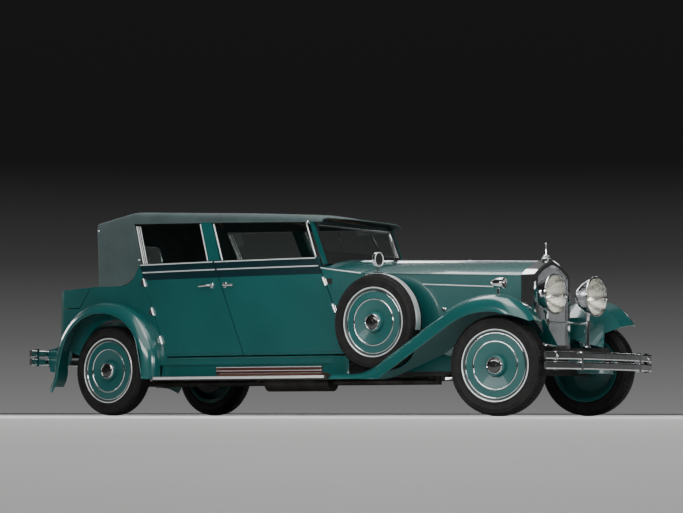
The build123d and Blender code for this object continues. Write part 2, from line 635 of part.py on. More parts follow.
# Cowl: hollow scuttle between windscreen and hood, closed by the firewall
nose_outer = nose(0, SILL_TOP_Z)
nose_inner = nose(COWL_WALL, SILL_TOP_Z - 20)
cowl_zone = slab(
    [
        (raked(A_LINE_AHEAD, 400) + HALF_GAP, 400),
        (cowl_x(400), 400),
        (cowl_x(1400), 1400),
        (raked(A_LINE_AHEAD, 1400) + HALF_GAP, 1400),
    ],
    -900,
    900,
)
wall_zone = slab(
    [(cowl_x(400) - 30, 400), (cowl_x(400), 400), (cowl_x(1400), 1400), (cowl_x(1400) - 30, 1400)], -900, 900
)
cowl = (nose_outer - nose_inner) & cowl_zone
cowl += nose_outer & wall_zone
hinges = None
for name, reach in (("front", 70.0), ("rear", -45.0)):
    for z in HINGE_HEIGHTS[name]:
        x = hinge_point(name, z).X
        near, far = sorted((x + reach, x + reach / 20))
        if name == "front":
            leaf = nose(-5, SILL_TOP_Z) - nose_outer
        else:
            leaf = plan_block(-5, near - 90, far + 90, SILL_TOP_Z, BELT_Z) - plan_block(0, near - 99, far + 99, 400, 1400)
        leaf &= box(near, far, 0, 900, z - 24, z + 24)
        hinge = leaf + (hinge_barrel(name, z, 0.0) - (nose_outer & cowl_zone) - tail_form)
        hinges = hinge if hinges is None else hinges + hinge
pieces["cowl"] = cowl
pieces["door_hinges"] = pair(hinges)

# Dashboard across the cowl's rear opening
dash_zone = slab(
    [
        (raked(A_LINE_AHEAD, 1060) + 40, 1060),
        (raked(A_LINE_AHEAD, 1060) + 90, 1060),
        (raked(A_LINE_AHEAD, 1400) + 90, 1400),
        (raked(A_LINE_AHEAD, 1400) + 40, 1400),
    ],
    -900,
    900,
)
pieces["dashboard"] = nose_inner & dash_zone

# Windscreen: raked posts and frame on the cowl, with one flat pane
SCREEN_INSET = 71.0
SCREEN_HALF = half_width(A_X, 0) - SCREEN_INSET
SCREEN_LOW = 1345.0
SCREEN_HIGH = 1655.0


def screen_slab(rear, front, half, low, high):
    return slab(
        [
            (raked(A_LINE_AHEAD, low) + rear, low),
            (raked(A_LINE_AHEAD, low) + front, low),
            (raked(A_LINE_AHEAD, high) + front, high),
            (raked(A_LINE_AHEAD, high) + rear, high),
        ],
        -half,
        half,
    )


screen = screen_slab(6, 46, SCREEN_HALF + 16, 1280, SCREEN_HIGH) - screen_slab(
    0, 60, SCREEN_HALF - 32, SCREEN_LOW + 40, SCREEN_HIGH - 34
)
screen_pane = screen_slab(22, 28, SCREEN_HALF - 32, SCREEN_LOW + 40, SCREEN_HIGH - 34)

# Soft top: taut hollow cover on its bows, open over the doors and the windscreen
ROOF_STATIONS = [(REAR_X + ahead, *row) for ahead, *row in ROOF_REAR_STATIONS]
ROOF_STATIONS += [(A_X + ahead, *row) for ahead, *row in ROOF_FRONT_STATIONS]


def roof_form(inset, low):
    hoops = []
    for x, side_inset, shoulder, crown in ROOF_STATIONS:
        w, z = half_width(x, 0) - side_inset - inset, shoulder - inset
        base = half_width(x, 0) - 4 - inset if x < REAR_X + C_LINE_AHEAD else w + 26
        left, right = (x, w, z), (x, -w, z)
        left_in, right_in = (x, w - ROOF_CORNER, z + 42), (x, -w + ROOF_CORNER, z + 42)
        curve = [
            ThreePointArc(left, (x, w - 15, z + 27), left_in),
            ThreePointArc(left_in, (x, 0, crown - inset), right_in),
            ThreePointArc(right_in, (x, -w + 15, z + 27), right),
        ]
        sides = Polyline(right, (x, -base, low), (x, base, low), left)
        hoops.append(make_face([*curve, *sides.edges()]))
    return loft(hoops, ruled=True)


C_TOP = raked(C_LINE_AHEAD, ROOF_EDGE_REAR[1])
front_x = ROOF_STATIONS[-1][0]
top_side = [
    (front_x + 60, roof_edge(front_x + 60)),
    (C_TOP + 8, roof_edge(C_TOP + 8)),
    (REAR_X + C_LINE_AHEAD + DOOR_GAP * 0.58 - 0.6, BELT_Z + DOOR_GAP),
    (REAR_X + 204.6, DECK_Z - 6.7),
    (REAR_X + BACK_FOOT_AHEAD, DECK_Z + 0.3),
    (REAR_X + BACK_HEAD_AHEAD, ROOF_STATIONS[0][2]),
    (REAR_X + BACK_HEAD_AHEAD, 1950.0),
    (front_x + 60, 1950.0),
]
corners = [(x, -900, z) for x, z in top_side]
top_cut = make_face(FilletPolyline(*corners, radius=(2, 6, 2, QUARTER_R, 4, 4, 4, 4), close=True))
back_slope = (BACK_HEAD_AHEAD - BACK_FOOT_AHEAD) / (ROOF_STATIONS[0][2] - DECK_Z)


def back_x(z, inset):
    """X of the leaning back wall at height z, moved inward by inset."""
    return REAR_X + BACK_FOOT_AHEAD + back_slope * (z - DECK_Z) + inset


def ahead_of_back(inset):
    """Everything ahead of the leaning back wall."""
    line = [(back_x(z, inset), z) for z in (1000, 1950)]
    return slab([*line, (front_x + 99, 1950), (front_x + 99, 1000)], -900, 900)


hollow = roof_form(ROOF_SKIN, DECK_Z - 40) & ahead_of_back(ROOF_SKIN)
cover = (roof_form(0, DECK_Z - 20) & extrude(top_cut, 1800, dir=(0, 1, 0))) - hollow
back_mid = REAR_X + BACK_HEAD_AHEAD
light_room = box(
    back_mid - 150, back_mid + 150, -BACK_LIGHT_HALF, BACK_LIGHT_HALF, BACK_LIGHT_LOW, BACK_LIGHT_HIGH
)
light_room = fillet(light_room.edges().filter_by(Axis.X), 40)
back_pane = light_room & ahead_of_back(8) - ahead_of_back(8 + GLASS_T)
cover -= light_room
pieces["soft_top"] = cover
pieces["windscreen_frame"] = screen - nose_outer - cover
pieces["fixed_glass"] = screen_pane + back_pane

# Hood: two crowned tops on a centre rod and two side leaves under them
hood_shell = nose(0, HOOD_BOTTOM_Z) - nose(HOOD_SKIN, HOOD_BOTTOM_Z - 20)
rear_gap = DOOR_GAP
hood_zone = slab(
    [
        (cowl_x(500) + rear_gap, 500),
        (HOOD_END - 1, 500),
        (HOOD_END - 1, 1400),
        (cowl_x(1400) + rear_gap, 1400),
    ],
    0,
    900,
)


def hood_line(x):
    """Height of the shoulder hinge at x."""
    return along_hood(x, COWL_SHOULDER, HOOD_SHOULDER)


def hood_split(offset, up):
    x0, x1 = COWL_END - 300, HOOD_END + 100
    far = 1500 if up else 500
    return slab([(x0, hood_line(x0) + offset), (x1, hood_line(x1) + offset), (x1, far), (x0, far)], 0, 900)


def crown_line(x):
    """Height of the hood's centre rod at x."""
    return along_hood(x, COWL_CROWN, HOOD_CROWN)


ROD_REAR = cowl_x(crown_line(COWL_END)) + 4
rod_start = (ROD_REAR, 0, crown_line(ROD_REAR))
rod_end = (HOOD_END + 12, 0, crown_line(HOOD_END + 12))
room = rod(rod_start, rod_end, HOOD_ROD_R + 0.4) + box(ROD_REAR - 99, HOOD_END + 99, -4, 4, 1000, 1500)
half_shell = hood_shell & hood_zone
shoulder = []
for x in (cowl_x(COWL_SHOULDER) + rear_gap + 6, HOOD_END - 3):
    shoulder.append((x, hood_half_width(x), hood_line(x)))


def fold_wedge(x, half, rise, bulge):
    """Inward wedge at the shoulder that the two panels need clear when they fold."""
    y, z = hood_half_width(x), hood_line(x)
    start = 90 + degrees(atan2(rise, half) + atan2(4 * bulge, sqrt(half**2 + rise**2)))
    corners = [(x, y, z)]
    for angle in (radians(FOLD_KEEP), radians(start - FOLD_KEEP)):
        corners.append((x, y - FOLD_REACH * sin(angle), z - FOLD_REACH * cos(angle)))
    return make_face(Polyline(*corners, close=True))


fold_room = loft(
    [
        fold_wedge(COWL_END - 60, COWL_HALF, COWL_CROWN - COWL_SHOULDER, COWL_BULGE),
        fold_wedge(HOOD_END + 20, HOOD_HALF, HOOD_CROWN - HOOD_SHOULDER, HOOD_BULGE),
    ],
    ruled=True,
)
hood_top = (half_shell & hood_split(2.5, True)) - room - fold_room + rod(*shoulder, SHOULDER_BEAD_R)
hood_leaf = (half_shell & hood_split(-2.5, False)) - fold_room - rod(*shoulder, SHOULDER_BEAD_R + 0.3)
for side, top_piece, leaf_piece in (
    ("left", hood_top, hood_leaf),
    ("right", mirrored(hood_top), mirrored(hood_leaf)),
):
    pieces[f"hood_top_{side}"] = top_piece
    pieces[f"hood_leaf_{side}"] = leaf_piece

# Hood ledges: inner splash walls on the rails that carry the leaf's lower edge
ledge_rear = cowl_x(SILL_TOP_Z) + 5
ledge_front = FRONT_X + SHELL_FACE_AHEAD - SHELL_DEPTH
corners = []
for x, shift in ((ledge_rear, -24), (ledge_front, -24), (ledge_front, LEDGE_WIDTH), (ledge_rear, LEDGE_WIDTH)):
    corners.append((x, hood_half_width(x) + shift, HOOD_BOTTOM_Z - 20))
ledge = extrude(make_face(Polyline(*corners, close=True)), 14, dir=(0, 0, 1))
corners = []
for x, shift in ((ledge_rear, -24), (ledge_front, -24), (ledge_front, -14), (ledge_rear, -14)):
    corners.append((x, hood_half_width(x) + shift, MID_RAIL_Z - 20))
wall = extrude(make_face(Polyline(*corners, close=True)), HOOD_BOTTOM_Z - MID_RAIL_Z + 5, dir=(0, 0, 1))
wall -= box(ledge_rear - 9, FRONT_X, 0, RAIL_Y + RAIL_WIDTH / 2, 300, FRONT_RAIL_Z + RAIL_HALF)

# Radiator: tall bright shell, vertical slats in front of the core, plain filler cap with a slim finial
shell_x = FRONT_X + SHELL_FACE_AHEAD - SHELL_DEPTH


def shell_face(x, inset, low):
    half, shoulder = SHELL_HALF_WIDTH - inset, SHELL_SHOULDER_Z - inset * 0.5
    return hoop(x, half, shoulder, SHELL_CROWN_Z - inset, SHELL_BULGE, low)


def shell_form(x, inset, low, depth):
    return extrude(shell_face(x, inset, low), depth, dir=(1, 0, 0))


shell = shell_form(shell_x, 0, SHELL_BOTTOM_Z, SHELL_DEPTH - SHELL_BEVEL)
bevel_x = shell_x + SHELL_DEPTH - SHELL_BEVEL
shell += loft(
    [
        shell_face(bevel_x, 0, SHELL_BOTTOM_Z),
        shell_face(bevel_x + SHELL_BEVEL, SHELL_BEVEL, SHELL_BOTTOM_Z + SHELL_BEVEL),
    ],
    ruled=True,
)
shell -= shell_form(shell_x + 8, SHELL_RIM, SHELL_BOTTOM_Z + SHELL_RIM, SHELL_DEPTH)
core = shell_form(shell_x + 8, SHELL_RIM, SHELL_BOTTOM_Z + SHELL_RIM, 62)
span = 2 * (SHELL_HALF_WIDTH - SHELL_RIM)
slats = None
for i in range(SLAT_COUNT):
    y = -span / 2 + span * (i + 0.5) / SLAT_COUNT
    slat = box(shell_x + 69, shell_x + SHELL_DEPTH - 22, y - 4, y + 4, 400, 1400)
    slats = slat if slats is None else slats + slat
core += slats & shell_form(shell_x + 8, SHELL_RIM, SHELL_BOTTOM_Z + SHELL_RIM, SHELL_DEPTH)
pieces["radiator_core"] = core
CAP_PROFILE = [(0, -30), (40, -30), (40, 12), (30, 20), (30, 30), (11, 44), (7, 90), (10, 130), (4, 145), (0, 145)]
cap = revolve(make_face(Polyline(*[(r, 0, z) for r, z in CAP_PROFILE], close=True)), axis=Axis.Z)
cap = Pos(shell_x + SHELL_DEPTH / 2, 0, SHELL_CROWN_Z) * cap
cap -= shell_form(shell_x + 20, 20, SHELL_BOTTOM_Z, 90)
pieces["radiator_shell"] = shell + cap + rod(rod_start, rod_end, HOOD_ROD_R)

# Headlamps: bullet shells with domed lenses on posts from the frame horns
lamp_x = FRONT_X + LAMP_AHEAD
bullet = ThreePointArc((lamp_x - LAMP_LENGTH, 0, 0), (lamp_x - 128, 0, 108), (lamp_x - 20, 0, LAMP_R - 6))
bowl = [
    bullet,
    *Polyline(
        bullet @ 1,
        (lamp_x - 20, 0, LAMP_R),
        (lamp_x + 2, 0, LAMP_R),
        (lamp_x + 2, 0, LAMP_R - 12),
        (lamp_x - 6, 0, LAMP_R - 12),
        (lamp_x - 6, 0, 0),
        bullet @ 0,
    ).edges(),
]
bowl = revolve(make_face(bowl), axis=Axis.X)
bowl = Pos(0, LAMP_Y, LAMP_Z) * bowl
post = rod((lamp_x - 85, LAMP_Y, FRONT_RAIL_Z + RAIL_HALF), (lamp_x - 85, LAMP_Y, LAMP_Z - 100), 17)
post += rod((lamp_x - 85, LAMP_Y, FRONT_RAIL_Z + RAIL_HALF), (lamp_x - 85, LAMP_Y, FRONT_RAIL_Z + RAIL_HALF + 14), 30)
tie = rod((lamp_x - 85, -LAMP_Y, 752), (lamp_x - 85, LAMP_Y, 752), 9)
pieces["headlamps"] = pair(bowl + post) + tie
LENS_R, LENS_RISE = LAMP_R - 12, 30.0
lens_sphere = (LENS_R**2 + LENS_RISE**2) / (2 * LENS_RISE)
lens = Pos(lamp_x - 6 + LENS_RISE - lens_sphere, 0, 0) * Rot(0, 90, 0) * Sphere(lens_sphere)
lens &= rod((lamp_x - 6, 0, 0), (lamp_x + 50, 0, 0), LENS_R + 20)
pieces["headlamp_lenses"] = pair(Pos(0, LAMP_Y, LAMP_Z) * lens)

# Wings: crowned sheet sections carried along a side path
def wing_section(inner, drop):
    """Thin (y, height) section from the inner edge over the crest to the lip, crest at height 0."""
    reach = WING_EDGE_Y - WING_CREST_Y
    crest = (WING_CREST_Y, 0.0)
    upper = Polyline(*inner, crest)
    bend = ThreePointArc(crest, (WING_CREST_Y + reach * 0.72, -drop * 0.33), (WING_EDGE_Y, -drop))
    under = ThreePointArc(
        (WING_EDGE_Y - WING_T, -drop),
        (WING_CREST_Y + reach * 0.72 - WING_T * 0.6, -drop * 0.33 - WING_T),
        (WING_CREST_Y, -WING_T),
    )
    back = Polyline((WING_CREST_Y, -WING_T), *[(y + WING_T * 0.8, h - WING_T) for y, h in reversed(inner)])
    lip, root = Line(bend @ 1, under @ 0), Line(back @ 1, upper @ 0)
    return make_face([*upper.edges(), bend, lip, under, *back.edges(), root])


def carry(section, path):
    """Section carried square to a side path of lines and arcs."""
    return sweep(Plane(origin=path @ 0, x_dir=(0, 1, 0), z_dir=path % 0) * section, path=path)


# Front wings: down the nose, over the wheel and out to the running board, with a catwalk to the frame
FOOT_Z = BOARD_TOP_Z + FRONT_WING_FOOT_RISE
front_path = FilletPolyline(
    (BOARD_FRONT, 0, FOOT_Z),
    (FRONT_X - FRONT_WING_FOOT_BEHIND, 0, FOOT_Z),
    (FRONT_X - FRONT_WING_RISE_BEHIND, 0, FRONT_WING_CREST_Z),
    (FRONT_X + FRONT_WING_KNEE_AHEAD, 0, FRONT_WING_CREST_Z),
    (FRONT_X + FRONT_WING_TIP[0], 0, FRONT_WING_TIP[1]),
    radius=FRONT_WING_RADII,
)
CATWALK = [(385.0, -330.0), (440.0, -150.0), (600.0, -35.0)]
front_wing = carry(wing_section(CATWALK, FRONT_WING_DROP), front_path)
foot_x = BOARD_FRONT - 312
clear = [(x, hood_half_width(x) + LEDGE_WIDTH) for x in (foot_x, COWL_END, HOOD_END)]
clear = [(foot_x - 700, clear[0][1] + 160), *clear, (FRONT_X + 900, clear[-1][1])]
nose_room = make_face(Polyline(*clear, (FRONT_X + 900, 0), (foot_x - 700, 0), close=True))
front_wing -= extrude(nose_room, 1500, dir=(0, 0, 1))
front_wing -= box(foot_x, FRONT_X - 800, 0, 900, 0, BOARD_TOP_Z - BOARD_T)


def beak_face(y):
    """Room under the wing's front edge at y, which rises towards the outside."""
    shift = (y - WING_EDGE_Y) * BEAK_TILT
    ends = [(FRONT_X + x, y, z + shift) for x, z in BEAK_LINE]
    return make_face(Polyline(*ends, (ends[1][0], y, 300), (ends[0][0], y, 300), close=True))


front_wing -= loft([beak_face(560), beak_face(WING_EDGE_Y + 20)], ruled=True)
SPLASH = [(60.0, 388.0, 622.0), (345.0, 352.0, 558.0), (290.0, 470.0, 770.0), (110.0, 470.0, 790.0)]
splash = make_face(Polyline(*[(FRONT_X + x, y, z) for x, y, z in SPLASH[:3]], close=True))
front_wing += extrude(splash, 6, dir=(0, -1, 0))
spare_at = Pos(FRONT_X - SPARE_BEHIND, SPARE_Y, SPARE_Z) * Rot(0, 0, -SPARE_TOE)
well = spare_at * Rot(90, 0, 0) * Cylinder(TYRE_R + 4, TYRE_WIDTH + 12)
front_wing -= well
pieces["front_wings"] = pair(front_wing)

# Rear wings: round over the wheel with a small flare at the tail
rear_path = FilletPolyline(
    (REAR_X + REAR_WING_FRONT_AHEAD, 0, BOARD_TOP_Z - 20),
    (REAR_X + REAR_WING_FRONT_AHEAD, 0, REAR_WING_CREST_Z),
    (REAR_X + REAR_WING_BACK_AHEAD, 0, REAR_WING_CREST_Z),
    (REAR_X + REAR_WING_BACK_AHEAD, 0, REAR_WING_FLARE[1]),
    (REAR_X + REAR_WING_BACK_AHEAD - REAR_WING_FLARE[0], 0, REAR_WING_FLARE[2]),
    radius=REAR_WING_RADII,
)
rear_wing = carry(mirror(wing_section([(560.0, 0.0)], REAR_WING_DROP), about=Plane.XZ), rear_path)
rear_wing -= plan_block(0, TAIL_X - 200, REAR_X + 1500, 100, 1500)
pieces["rear_wings"] = pair(rear_wing)

# Bumpers: two flat bars, swept back at the ends, joined by clamps on arms from the frame
def bumper(face_x, sign, rise):
    """Both bars with their clamps, and the X where the carrying arms end."""
    centre = face_x - sign * BAR_THICKNESS / 2
    tip = centre - sign * BAR_SWEEP
    bars = None
    for z in BAR_CENTRES_Z:
        path = FilletPolyline(
            (tip, -BAR_HALF_LENGTH, z + rise),
            (centre, -BAR_STRAIGHT, z + rise),
            (centre, BAR_STRAIGHT, z + rise),
            (tip, BAR_HALF_LENGTH, z + rise),
            radius=(BAR_BEND_R, BAR_BEND_R),
        )
        plane = Plane(origin=path @ 0, z_dir=path % 0)
        bar = sweep(plane * RectangleRounded(BAR_THICKNESS, BAR_HEIGHT, BAR_EDGE_R), path=path)
        bars = bar if bars is None else bars + bar
    low, high = BAR_CENTRES_Z[0] + rise - 40, BAR_CENTRES_Z[1] + rise + 40
    for y in CLAMP_YS:
        x = centre - sign * BAR_SWEEP * max(0.0, y - BAR_STRAIGHT) / (BAR_HALF_LENGTH - BAR_STRAIGHT)
        front, back = x + sign * (BAR_THICKNESS / 2 - 3), x - sign * (BAR_THICKNESS / 2 + 8)
        bars += pair(box(min(front, back), max(front, back), y - 15, y + 15, low, high))
    return bars, centre - sign * (BAR_THICKNESS / 2 + 8)


pieces["front_bumper"], bumper_back = bumper(FRONT_X + FRONT_OVERHANG, 1, 0.0)
arm = box(FRONT_X + 400, bumper_back + 12, RAIL_Y - 20, CLAMP_YS[1] + 15, 472, 508)
pieces["front_bumper"] += pair(arm)
pieces["rear_bumper"], bumper_back = bumper(REAR_X - REAR_OVERHANG, -1, REAR_BAR_RISE)
arm = box(bumper_back - 12, REAR_X - 800, RAIL_Y - 20, CLAMP_YS[1] + 15, 525, 580)
pieces["rear_bumper"] += pair(arm)

# Spare wheels in the wing wells, each on a carrier that stands on the hood ledge
pieces["spare_wheels"] = pair(spare_at * wheel())
pieces["spare_tyres"] = pair(spare_at * tyre())
spare_x = FRONT_X - SPARE_BEHIND
carrier_y = hood_half_width(spare_x + 75) + LEDGE_WIDTH + 12
carrier = box(spare_x + 5, spare_x + 75, carrier_y - 14, carrier_y, HOOD_BOTTOM_Z - 6, SPARE_Z + 40)
carrier += spare_at * rod((0, carrier_y - SPARE_Y - 8, 0), (0, carrier_y - SPARE_Y + 8, 0), 55)
carrier += spare_at * rod((0, carrier_y - SPARE_Y, 0), (0, 20, 0), SPINDLE_R)
pieces["hood_ledges"] = pair(ledge + wall + carrier)

# Mirrors strapped to the top of the spare tyres
saddle = box(spare_x - 32, spare_x + 32, SPARE_Y - 22, SPARE_Y + 22, SPARE_Z + TYRE_R - 12, SPARE_Z + TYRE_R + 12)
saddle += rod((spare_x, SPARE_Y, SPARE_Z + TYRE_R), (spare_x, SPARE_Y, SPARE_Z + TYRE_R + 80), 9)
saddle += rod((spare_x - 12, SPARE_Y, SPARE_Z + TYRE_R + 118), (spare_x + 12, SPARE_Y, SPARE_Z + TYRE_R + 118), 62)
pieces["mirrors"] = pair(saddle - spare_at * Rot(90, 0, 0) * Cylinder(TYRE_R, TYRE_WIDTH))

# Side lamps on the front wing crests and tail lamps on the back panel
lamp_at = (FRONT_X + 50, WING_CREST_Y)
small = rod((lamp_at[0], lamp_at[1], FRONT_WING_CREST_Z), (lamp_at[0], lamp_at[1], FRONT_WING_CREST_Z + 60), 11)
bullet = ThreePointArc((lamp_at[0] - 85, 0, 0), (lamp_at[0] - 30, 0, 34), (lamp_at[0] + 50, 0, 43))
shape = make_face([bullet, *Polyline(bullet @ 1, (lamp_at[0] + 50, 0, 0), bullet @ 0).edges()])
small += Pos(0, lamp_at[1], FRONT_WING_CREST_Z + 84) * revolve(shape, axis=Axis.X)
pieces["side_lamps"] = pair(small)
TAIL_LAMP = (400.0, 760.0)
tail_lamp = rod((TAIL_X - 75, *TAIL_LAMP), (TAIL_X + 25, *TAIL_LAMP), 46)
tail_lamp -= plan_block(0, TAIL_X - 22, REAR_X, 600, 900, TAIL_CORNER_R) & extrude(tail_cut, 1800, dir=(0, 1, 0))
pieces["tail_lamps"] = pair(tail_lamp)

# Seats: front bench and rear bench
SEAT_SIDE_GAP = 51.0
front_bench = [(-899, 470), (-369, 470), (-329, 800), (-729, 780), (-869, 1190), (-949, 1180)]
bench_half = half_width(A_X - 329, DOOR_THICKNESS) - SEAT_SIDE_GAP
pieces["front_seat"] = Pos(A_X, 0, 0) * slab(front_bench, -bench_half, bench_half, 30)
rear_bench = [(-120, 665), (560, 665), (580, 890), (110, 870), (-60, 1290), (-140, 1280)]
pieces["rear_seat"] = Pos(REAR_X, 0, 0) * slab(rear_bench, -500, 500, 30)

# Steering wheel on its raked column, left-hand drive
COLUMN_RAKE = 40.0
COLUMN_Y = 330.0
HELM = (A_X - 239.0, COLUMN_Y, 1130.0)
HELM_R = 215.0
run = (HELM[2] - FLOOR_TOP_Z) / sin(radians(COLUMN_RAKE))
down = Vector(cos(radians(COLUMN_RAKE)), 0, -sin(radians(COLUMN_RAKE)))
helm_plane = Plane(origin=HELM, x_dir=(0, 1, 0), z_dir=-down)
helm = Torus(HELM_R, 13) + Cylinder(34, 30)
for angle in (90, 210, 330):
    helm += Rot(0, 0, angle) * box(0, HELM_R, -9, 9, -5, 5)
pieces["steering_wheel"] = helm_plane * helm
foot = Vector(*HELM) + down * (run + 60)
start = Vector(*HELM) + down * 15.3
column = rod(tuple(start), tuple(foot), 24)
pieces["steering_column"] = column - box(REAR_X, FRONT_X, 0, 900, 0, FLOOR_TOP_Z)

os.makedirs("parts", exist_ok=True)
for node, shape in pieces.items():
    export_step(shape, f"parts/{node}.step")
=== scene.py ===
import bmesh
import bpy
from math import cos, pi, radians, sin, sqrt
from mathutils import Matrix, Vector
from mathutils.bvhtree import BVHTree


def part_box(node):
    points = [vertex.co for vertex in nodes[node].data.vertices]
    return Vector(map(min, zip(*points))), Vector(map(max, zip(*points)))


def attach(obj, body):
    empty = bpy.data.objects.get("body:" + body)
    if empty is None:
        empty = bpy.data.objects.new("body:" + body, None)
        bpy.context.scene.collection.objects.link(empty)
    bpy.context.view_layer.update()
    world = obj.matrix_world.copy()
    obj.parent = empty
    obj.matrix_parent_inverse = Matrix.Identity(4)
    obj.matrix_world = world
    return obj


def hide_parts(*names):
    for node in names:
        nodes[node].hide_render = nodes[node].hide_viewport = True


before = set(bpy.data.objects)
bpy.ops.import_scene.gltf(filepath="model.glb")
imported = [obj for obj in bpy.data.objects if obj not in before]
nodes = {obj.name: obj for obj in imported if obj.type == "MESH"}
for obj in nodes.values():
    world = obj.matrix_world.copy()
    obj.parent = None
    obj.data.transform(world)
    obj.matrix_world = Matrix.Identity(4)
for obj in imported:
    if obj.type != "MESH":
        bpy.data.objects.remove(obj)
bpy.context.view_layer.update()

# Studio: a pale painted floor, one broad overhead light, long boxes of light round the car and two
# washes over the floor. The backdrop is pale at the floor and dark above. The camera stands far off at
# the right front, near the ground.
def lay_tools_down():
    """Back in object mode with nothing picked."""
    if bpy.context.object and bpy.context.object.mode != "OBJECT":
        bpy.ops.object.mode_set(mode="OBJECT")
    bpy.ops.object.select_all(action="DESELECT")


def new_finish(name):
    """Empty node finish with its shader, and the piece's own coordinates."""
    finish = bpy.data.materials.new(name)
    finish.use_nodes = True
    tree = finish.node_tree
    shader = tree.nodes["Principled BSDF"]
    place = tree.nodes.new("ShaderNodeTexCoord").outputs["Object"]
    return finish, tree, shader, place


def node_of(tree, kind, **settings):
    """One texture or math node with its settings and socket values."""
    node = tree.nodes.new("ShaderNode" + kind)
    for key, value in settings.items():
        if hasattr(node, key):
            setattr(node, key, value)
        else:
            node.inputs[key.replace("_", " ")].default_value = value
    return node


def speckle(tree, place, scale, detail=3.0):
    """Soft noise over the piece."""
    noise = node_of(tree, "TexNoise", Scale=scale, Detail=detail)
    tree.links.new(place, noise.inputs["Vector"])
    return noise.outputs["Fac"]


def graded(tree, value, low, high):
    """Colour that runs between two tones as a value rises through its middle."""
    ramp = node_of(tree, "ValToRGB")
    for stop, position, tone in zip(ramp.color_ramp.elements, (0.35, 0.65), (low, high)):
        stop.position = position
        stop.color = (*tone, 1)
    tree.links.new(value, ramp.inputs["Fac"])
    return ramp.outputs["Color"]


def coloured_by(tree, shader, value, low, high):
    """Base colour between two tones."""
    tree.links.new(graded(tree, value, low, high), shader.inputs["Base Color"])


FLOOR_SIZE = 70
floor_paint, tree, shader, place = new_finish("studio_floor")
coloured_by(tree, shader, speckle(tree, place, 0.8), (0.60, 0.60, 0.59), (0.64, 0.64, 0.635))
shader.inputs["Roughness"].default_value = 0.7
lay_tools_down()
bpy.ops.mesh.primitive_plane_add(size=FLOOR_SIZE)
floor = bpy.context.object
floor.name = "studio_floor"
floor.data.materials.append(floor_paint)

AZIMUTH, PITCH, ROLL = radians(37.2676), radians(3.6264), radians(0.0365)
BACKDROP_TONES = [(0.0, 0.24), (0.03, 0.13), (0.06, 0.05), (0.10, 0.012), (0.30, 0.014), (1.0, 0.14)]
ROOM_TONES = [(0.0, 0.10), (0.05, 0.05), (0.12, 0.022), (0.45, 0.03), (1.0, 0.14)]
BACKDROP_SOFTNESS = 0.7
world = bpy.data.worlds.new("studio_air")
world.use_nodes = True
bpy.context.scene.world = world
air = world.node_tree
heading = node_of(air, "TexCoord").outputs["Generated"]
height = node_of(air, "SeparateXYZ")
air.links.new(heading, height.inputs["Vector"])
beyond = node_of(air, "VectorMath", operation="DOT_PRODUCT")
beyond.inputs[1].default_value = (-sin(AZIMUTH), cos(AZIMUTH), 0)
air.links.new(heading, beyond.inputs[0])
facing = node_of(air, "MapRange", From_Max=BACKDROP_SOFTNESS)
air.links.new(beyond.outputs["Value"], facing.inputs["Value"])
both_sides = node_of(air, "Mix", data_type="RGBA")
air.links.new(facing.outputs["Result"], both_sides.inputs["Factor"])
for tones, key in ((ROOM_TONES, "A"), (BACKDROP_TONES, "B")):
    sky = node_of(air, "ValToRGB")
    while len(sky.color_ramp.elements) < len(tones):
        sky.color_ramp.elements.new(0.5)
    for stop, (level, tone) in zip(sky.color_ramp.elements, tones):
        stop.position = level
        stop.color = (tone, tone, tone * 1.01, 1)
    air.links.new(height.outputs["Z"], sky.inputs["Fac"])
    air.links.new(sky.outputs["Color"], both_sides.inputs[key])
air.links.new(both_sides.outputs["Result"], air.nodes["Background"].inputs["Color"])
air.nodes["Background"].inputs["Strength"].default_value = 0.85

STUDIO_LIGHTS = [
    # name, place, aimed at, width, length, power
    ("overhead", (0.2, -0.2, 5.2), (0.0, 0.0, 0.8), 2.2, 7.0, 220),
    ("near_side", (1.5, -8.5, 3.2), (0.2, 0.0, 0.7), 7.0, 1.4, 320),
    ("floor_wash", (7.5, -10.0, 10.0), (7.5, -10.0, 0.0), 16.0, 16.0, 1500),
    ("nose", (9.0, -2.0, 2.6), (2.0, 0.0, 0.8), 3.0, 1.6, 210),
    ("far_wash", (-7.5, 10.0, 10.0), (-5.0, 6.5, 0.0), 16.0, 16.0, 120),
    ("far_rim", (-3.0, 7.5, 3.4), (0.0, 0.0, 0.9), 7.0, 1.2, 120),
    ("tail", (-9.0, -1.0, 2.8), (-2.0, 0.0, 0.8), 3.0, 1.6, 150),
]
for name, spot, aim, width, length, power in STUDIO_LIGHTS:
    lay_tools_down()
    bpy.ops.object.light_add(type="AREA", location=spot)
    lamp = bpy.context.object
    lamp.name = "light_" + name
    lamp.data.shape = "RECTANGLE"
    lamp.data.size, lamp.data.size_y = width, length
    lamp.data.energy = power
    lamp.rotation_euler = (Vector(aim) - Vector(spot)).to_track_quat("-Z", "Y").to_euler()

